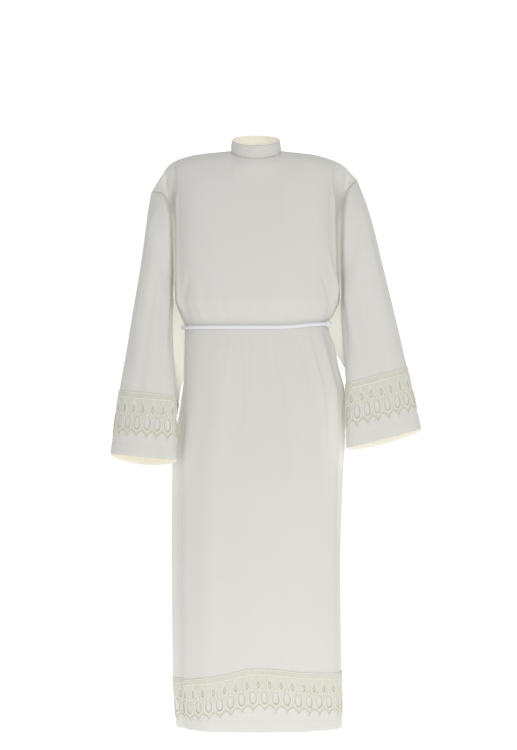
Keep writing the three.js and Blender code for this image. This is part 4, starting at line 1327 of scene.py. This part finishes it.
def pale_floor():
    """A white floor that fades into the surround."""
    turn = np.linspace(0, 2 * math.pi, FLOOR_SIDES, endpoint=False)
    across, forward = FLOOR_RADIUS * np.cos(turn), FLOOR_RADIUS * np.sin(turn)
    ring = np.stack([across, forward, np.full(FLOOR_SIDES, FLOOR_Z)], axis=1)
    material = bpy.data.materials.new("pale_floor")
    material.use_nodes = True
    tree, add = material.node_tree, adder(material.node_tree)
    inputs = tree.nodes["Principled BSDF"].inputs
    inputs["Base Color"].default_value = (0.95, 0.95, 0.95, 1)
    inputs["Roughness"].default_value = 0.9
    inputs["Emission Color"].default_value = (1, 1, 1, 1)
    inputs["Emission Strength"].default_value = 0.55
    place = add_node(tree, "ShaderNodeTexCoord").outputs["Object"]
    flat = add("ShaderNodeVectorMath", {0: place, 1: (1, 1, 0)}, operation="MULTIPLY")
    away = add_node(tree, "ShaderNodeVectorMath", {0: flat}, operation="LENGTH").outputs["Value"]
    fade = {"Value": away, "From Min": 0.5, "From Max": 3.0, "To Min": 1.0, "To Max": 0.0}
    fill(inputs["Alpha"], add("ShaderNodeMapRange", fade, interpolation_type="SMOOTHSTEP"))
    new_piece("floor", ring, [tuple(range(FLOOR_SIDES))], material)


def soft_light(name, place, target, size, power, colour):
    data = bpy.data.lights.new(name, "AREA")
    data.shape = "RECTANGLE"
    data.size, data.size_y = size
    data.energy = power
    data.color = colour
    light = in_scene(name, data)
    light.location = place
    across, forward, up = np.array(target) - np.array(place)
    tilt, turn = math.atan2(math.hypot(across, forward), -up), math.atan2(forward, across)
    light.rotation_euler = (tilt, 0, turn - math.pi / 2)


# The alb


def settle(piece, nodes):
    """Ties a piece to the frame."""
    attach(piece, "root")
    if nodes:
        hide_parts(*nodes)


def hem_up_at(turn):
    """The height of the skirt lace's points over the hem, at a share of the way round."""
    places, heights = np.array(HEM_UP_FRONT if turn < 0.5 else HEM_UP_BACK).T
    share = 2 * turn if turn < 0.5 else 2 - 2 * turn
    return float(smooth_between(places, heights, np.array([share]))[0])


def cuff_up_at(turn):
    return CUFF_LACE_UP


def lay_lace(name, cloth_under, up_at, tall, repeats, nodes):
    """One edging on the cloth: its ground and its raised threads."""
    strip = strip_on(np.swapaxes(cloth_under, 0, 1), up_at, tall, repeats)
    ground = lace_ground(name, strip, tall, lace)
    settle(ground, nodes)
    values = {"Motif": motif, "Repeats": repeats, "Radius": THREAD_RADIUS, "Finish": lace_thread}
    values["Lift"] = LACE_LIFT + LACE_GROUND + THREAD_LIFT * THREAD_RADIUS
    raised = run_tree(thread_nodes, strip_object(strip), name + "_threads", values)
    settle(raised, [])


place_camera()
scene.view_settings.view_transform = "Standard"
scene.view_settings.look = "None"

cloth, lace, lace_thread = cloth_material(), lace_material(), thread_material()
cincture, cord_path, knot = make_cincture(cord_material())

grids = all_cloth()
pieces = {}
for name, node in CLOTH_NODES.items():
    grid, closed = grids[name]
    wall, painted_glow_amount = COLLAR_WALL, 0
    if name != "neck_band":
        # Sleeves and panels get a painted glow for light coming through them; the collar gets none
        wall, painted_glow_amount = panel_wall(grid), painted_glow_on_sleeve(grid) if closed else painted_glow_on_panel(grid)
    pieces[name] = shell(name, grid, closed, wall, cloth, painted_glow_amount)
    settle(pieces[name], [node])

stitch_nodes = stitch_tree()
for name, (under, ups) in STITCHES.items():
    lines = [line_on(*grids[under], up) for up in ups]
    settle(stitches(name, lines, stitch_nodes, cloth), [])

thread_nodes, motif = thread_tree(), thread_motif()
front, back = grids["front_panel"][0], grids["back_panel"][0]
skirt = np.concatenate([front[:, :-1], back[:, ::-1][:, :-1]], axis=1)[::-1]
lay_lace("hem_lace", skirt, hem_up_at, HEM_LACE_TALL, HEM_REPEATS, ["hem_lace_front", "hem_lace_back"])
for side in ("right", "left"):
    sleeve = grids[f"{side}_sleeve"][0][::-1]
    nodes = [f"cuff_lace_{side}_front", f"cuff_lace_{side}_back"]
    lay_lace(f"{side}_cuff_lace", sleeve, cuff_up_at, CUFF_LACE_TALL, CUFF_REPEATS, nodes)
bpy.data.objects.remove(motif)

settle(cincture, ["cincture"])
settle(knot, ["cincture_knot"])

pale_world()
pale_floor()
for name, light in LIGHTS.items():
    soft_light(name, *light)
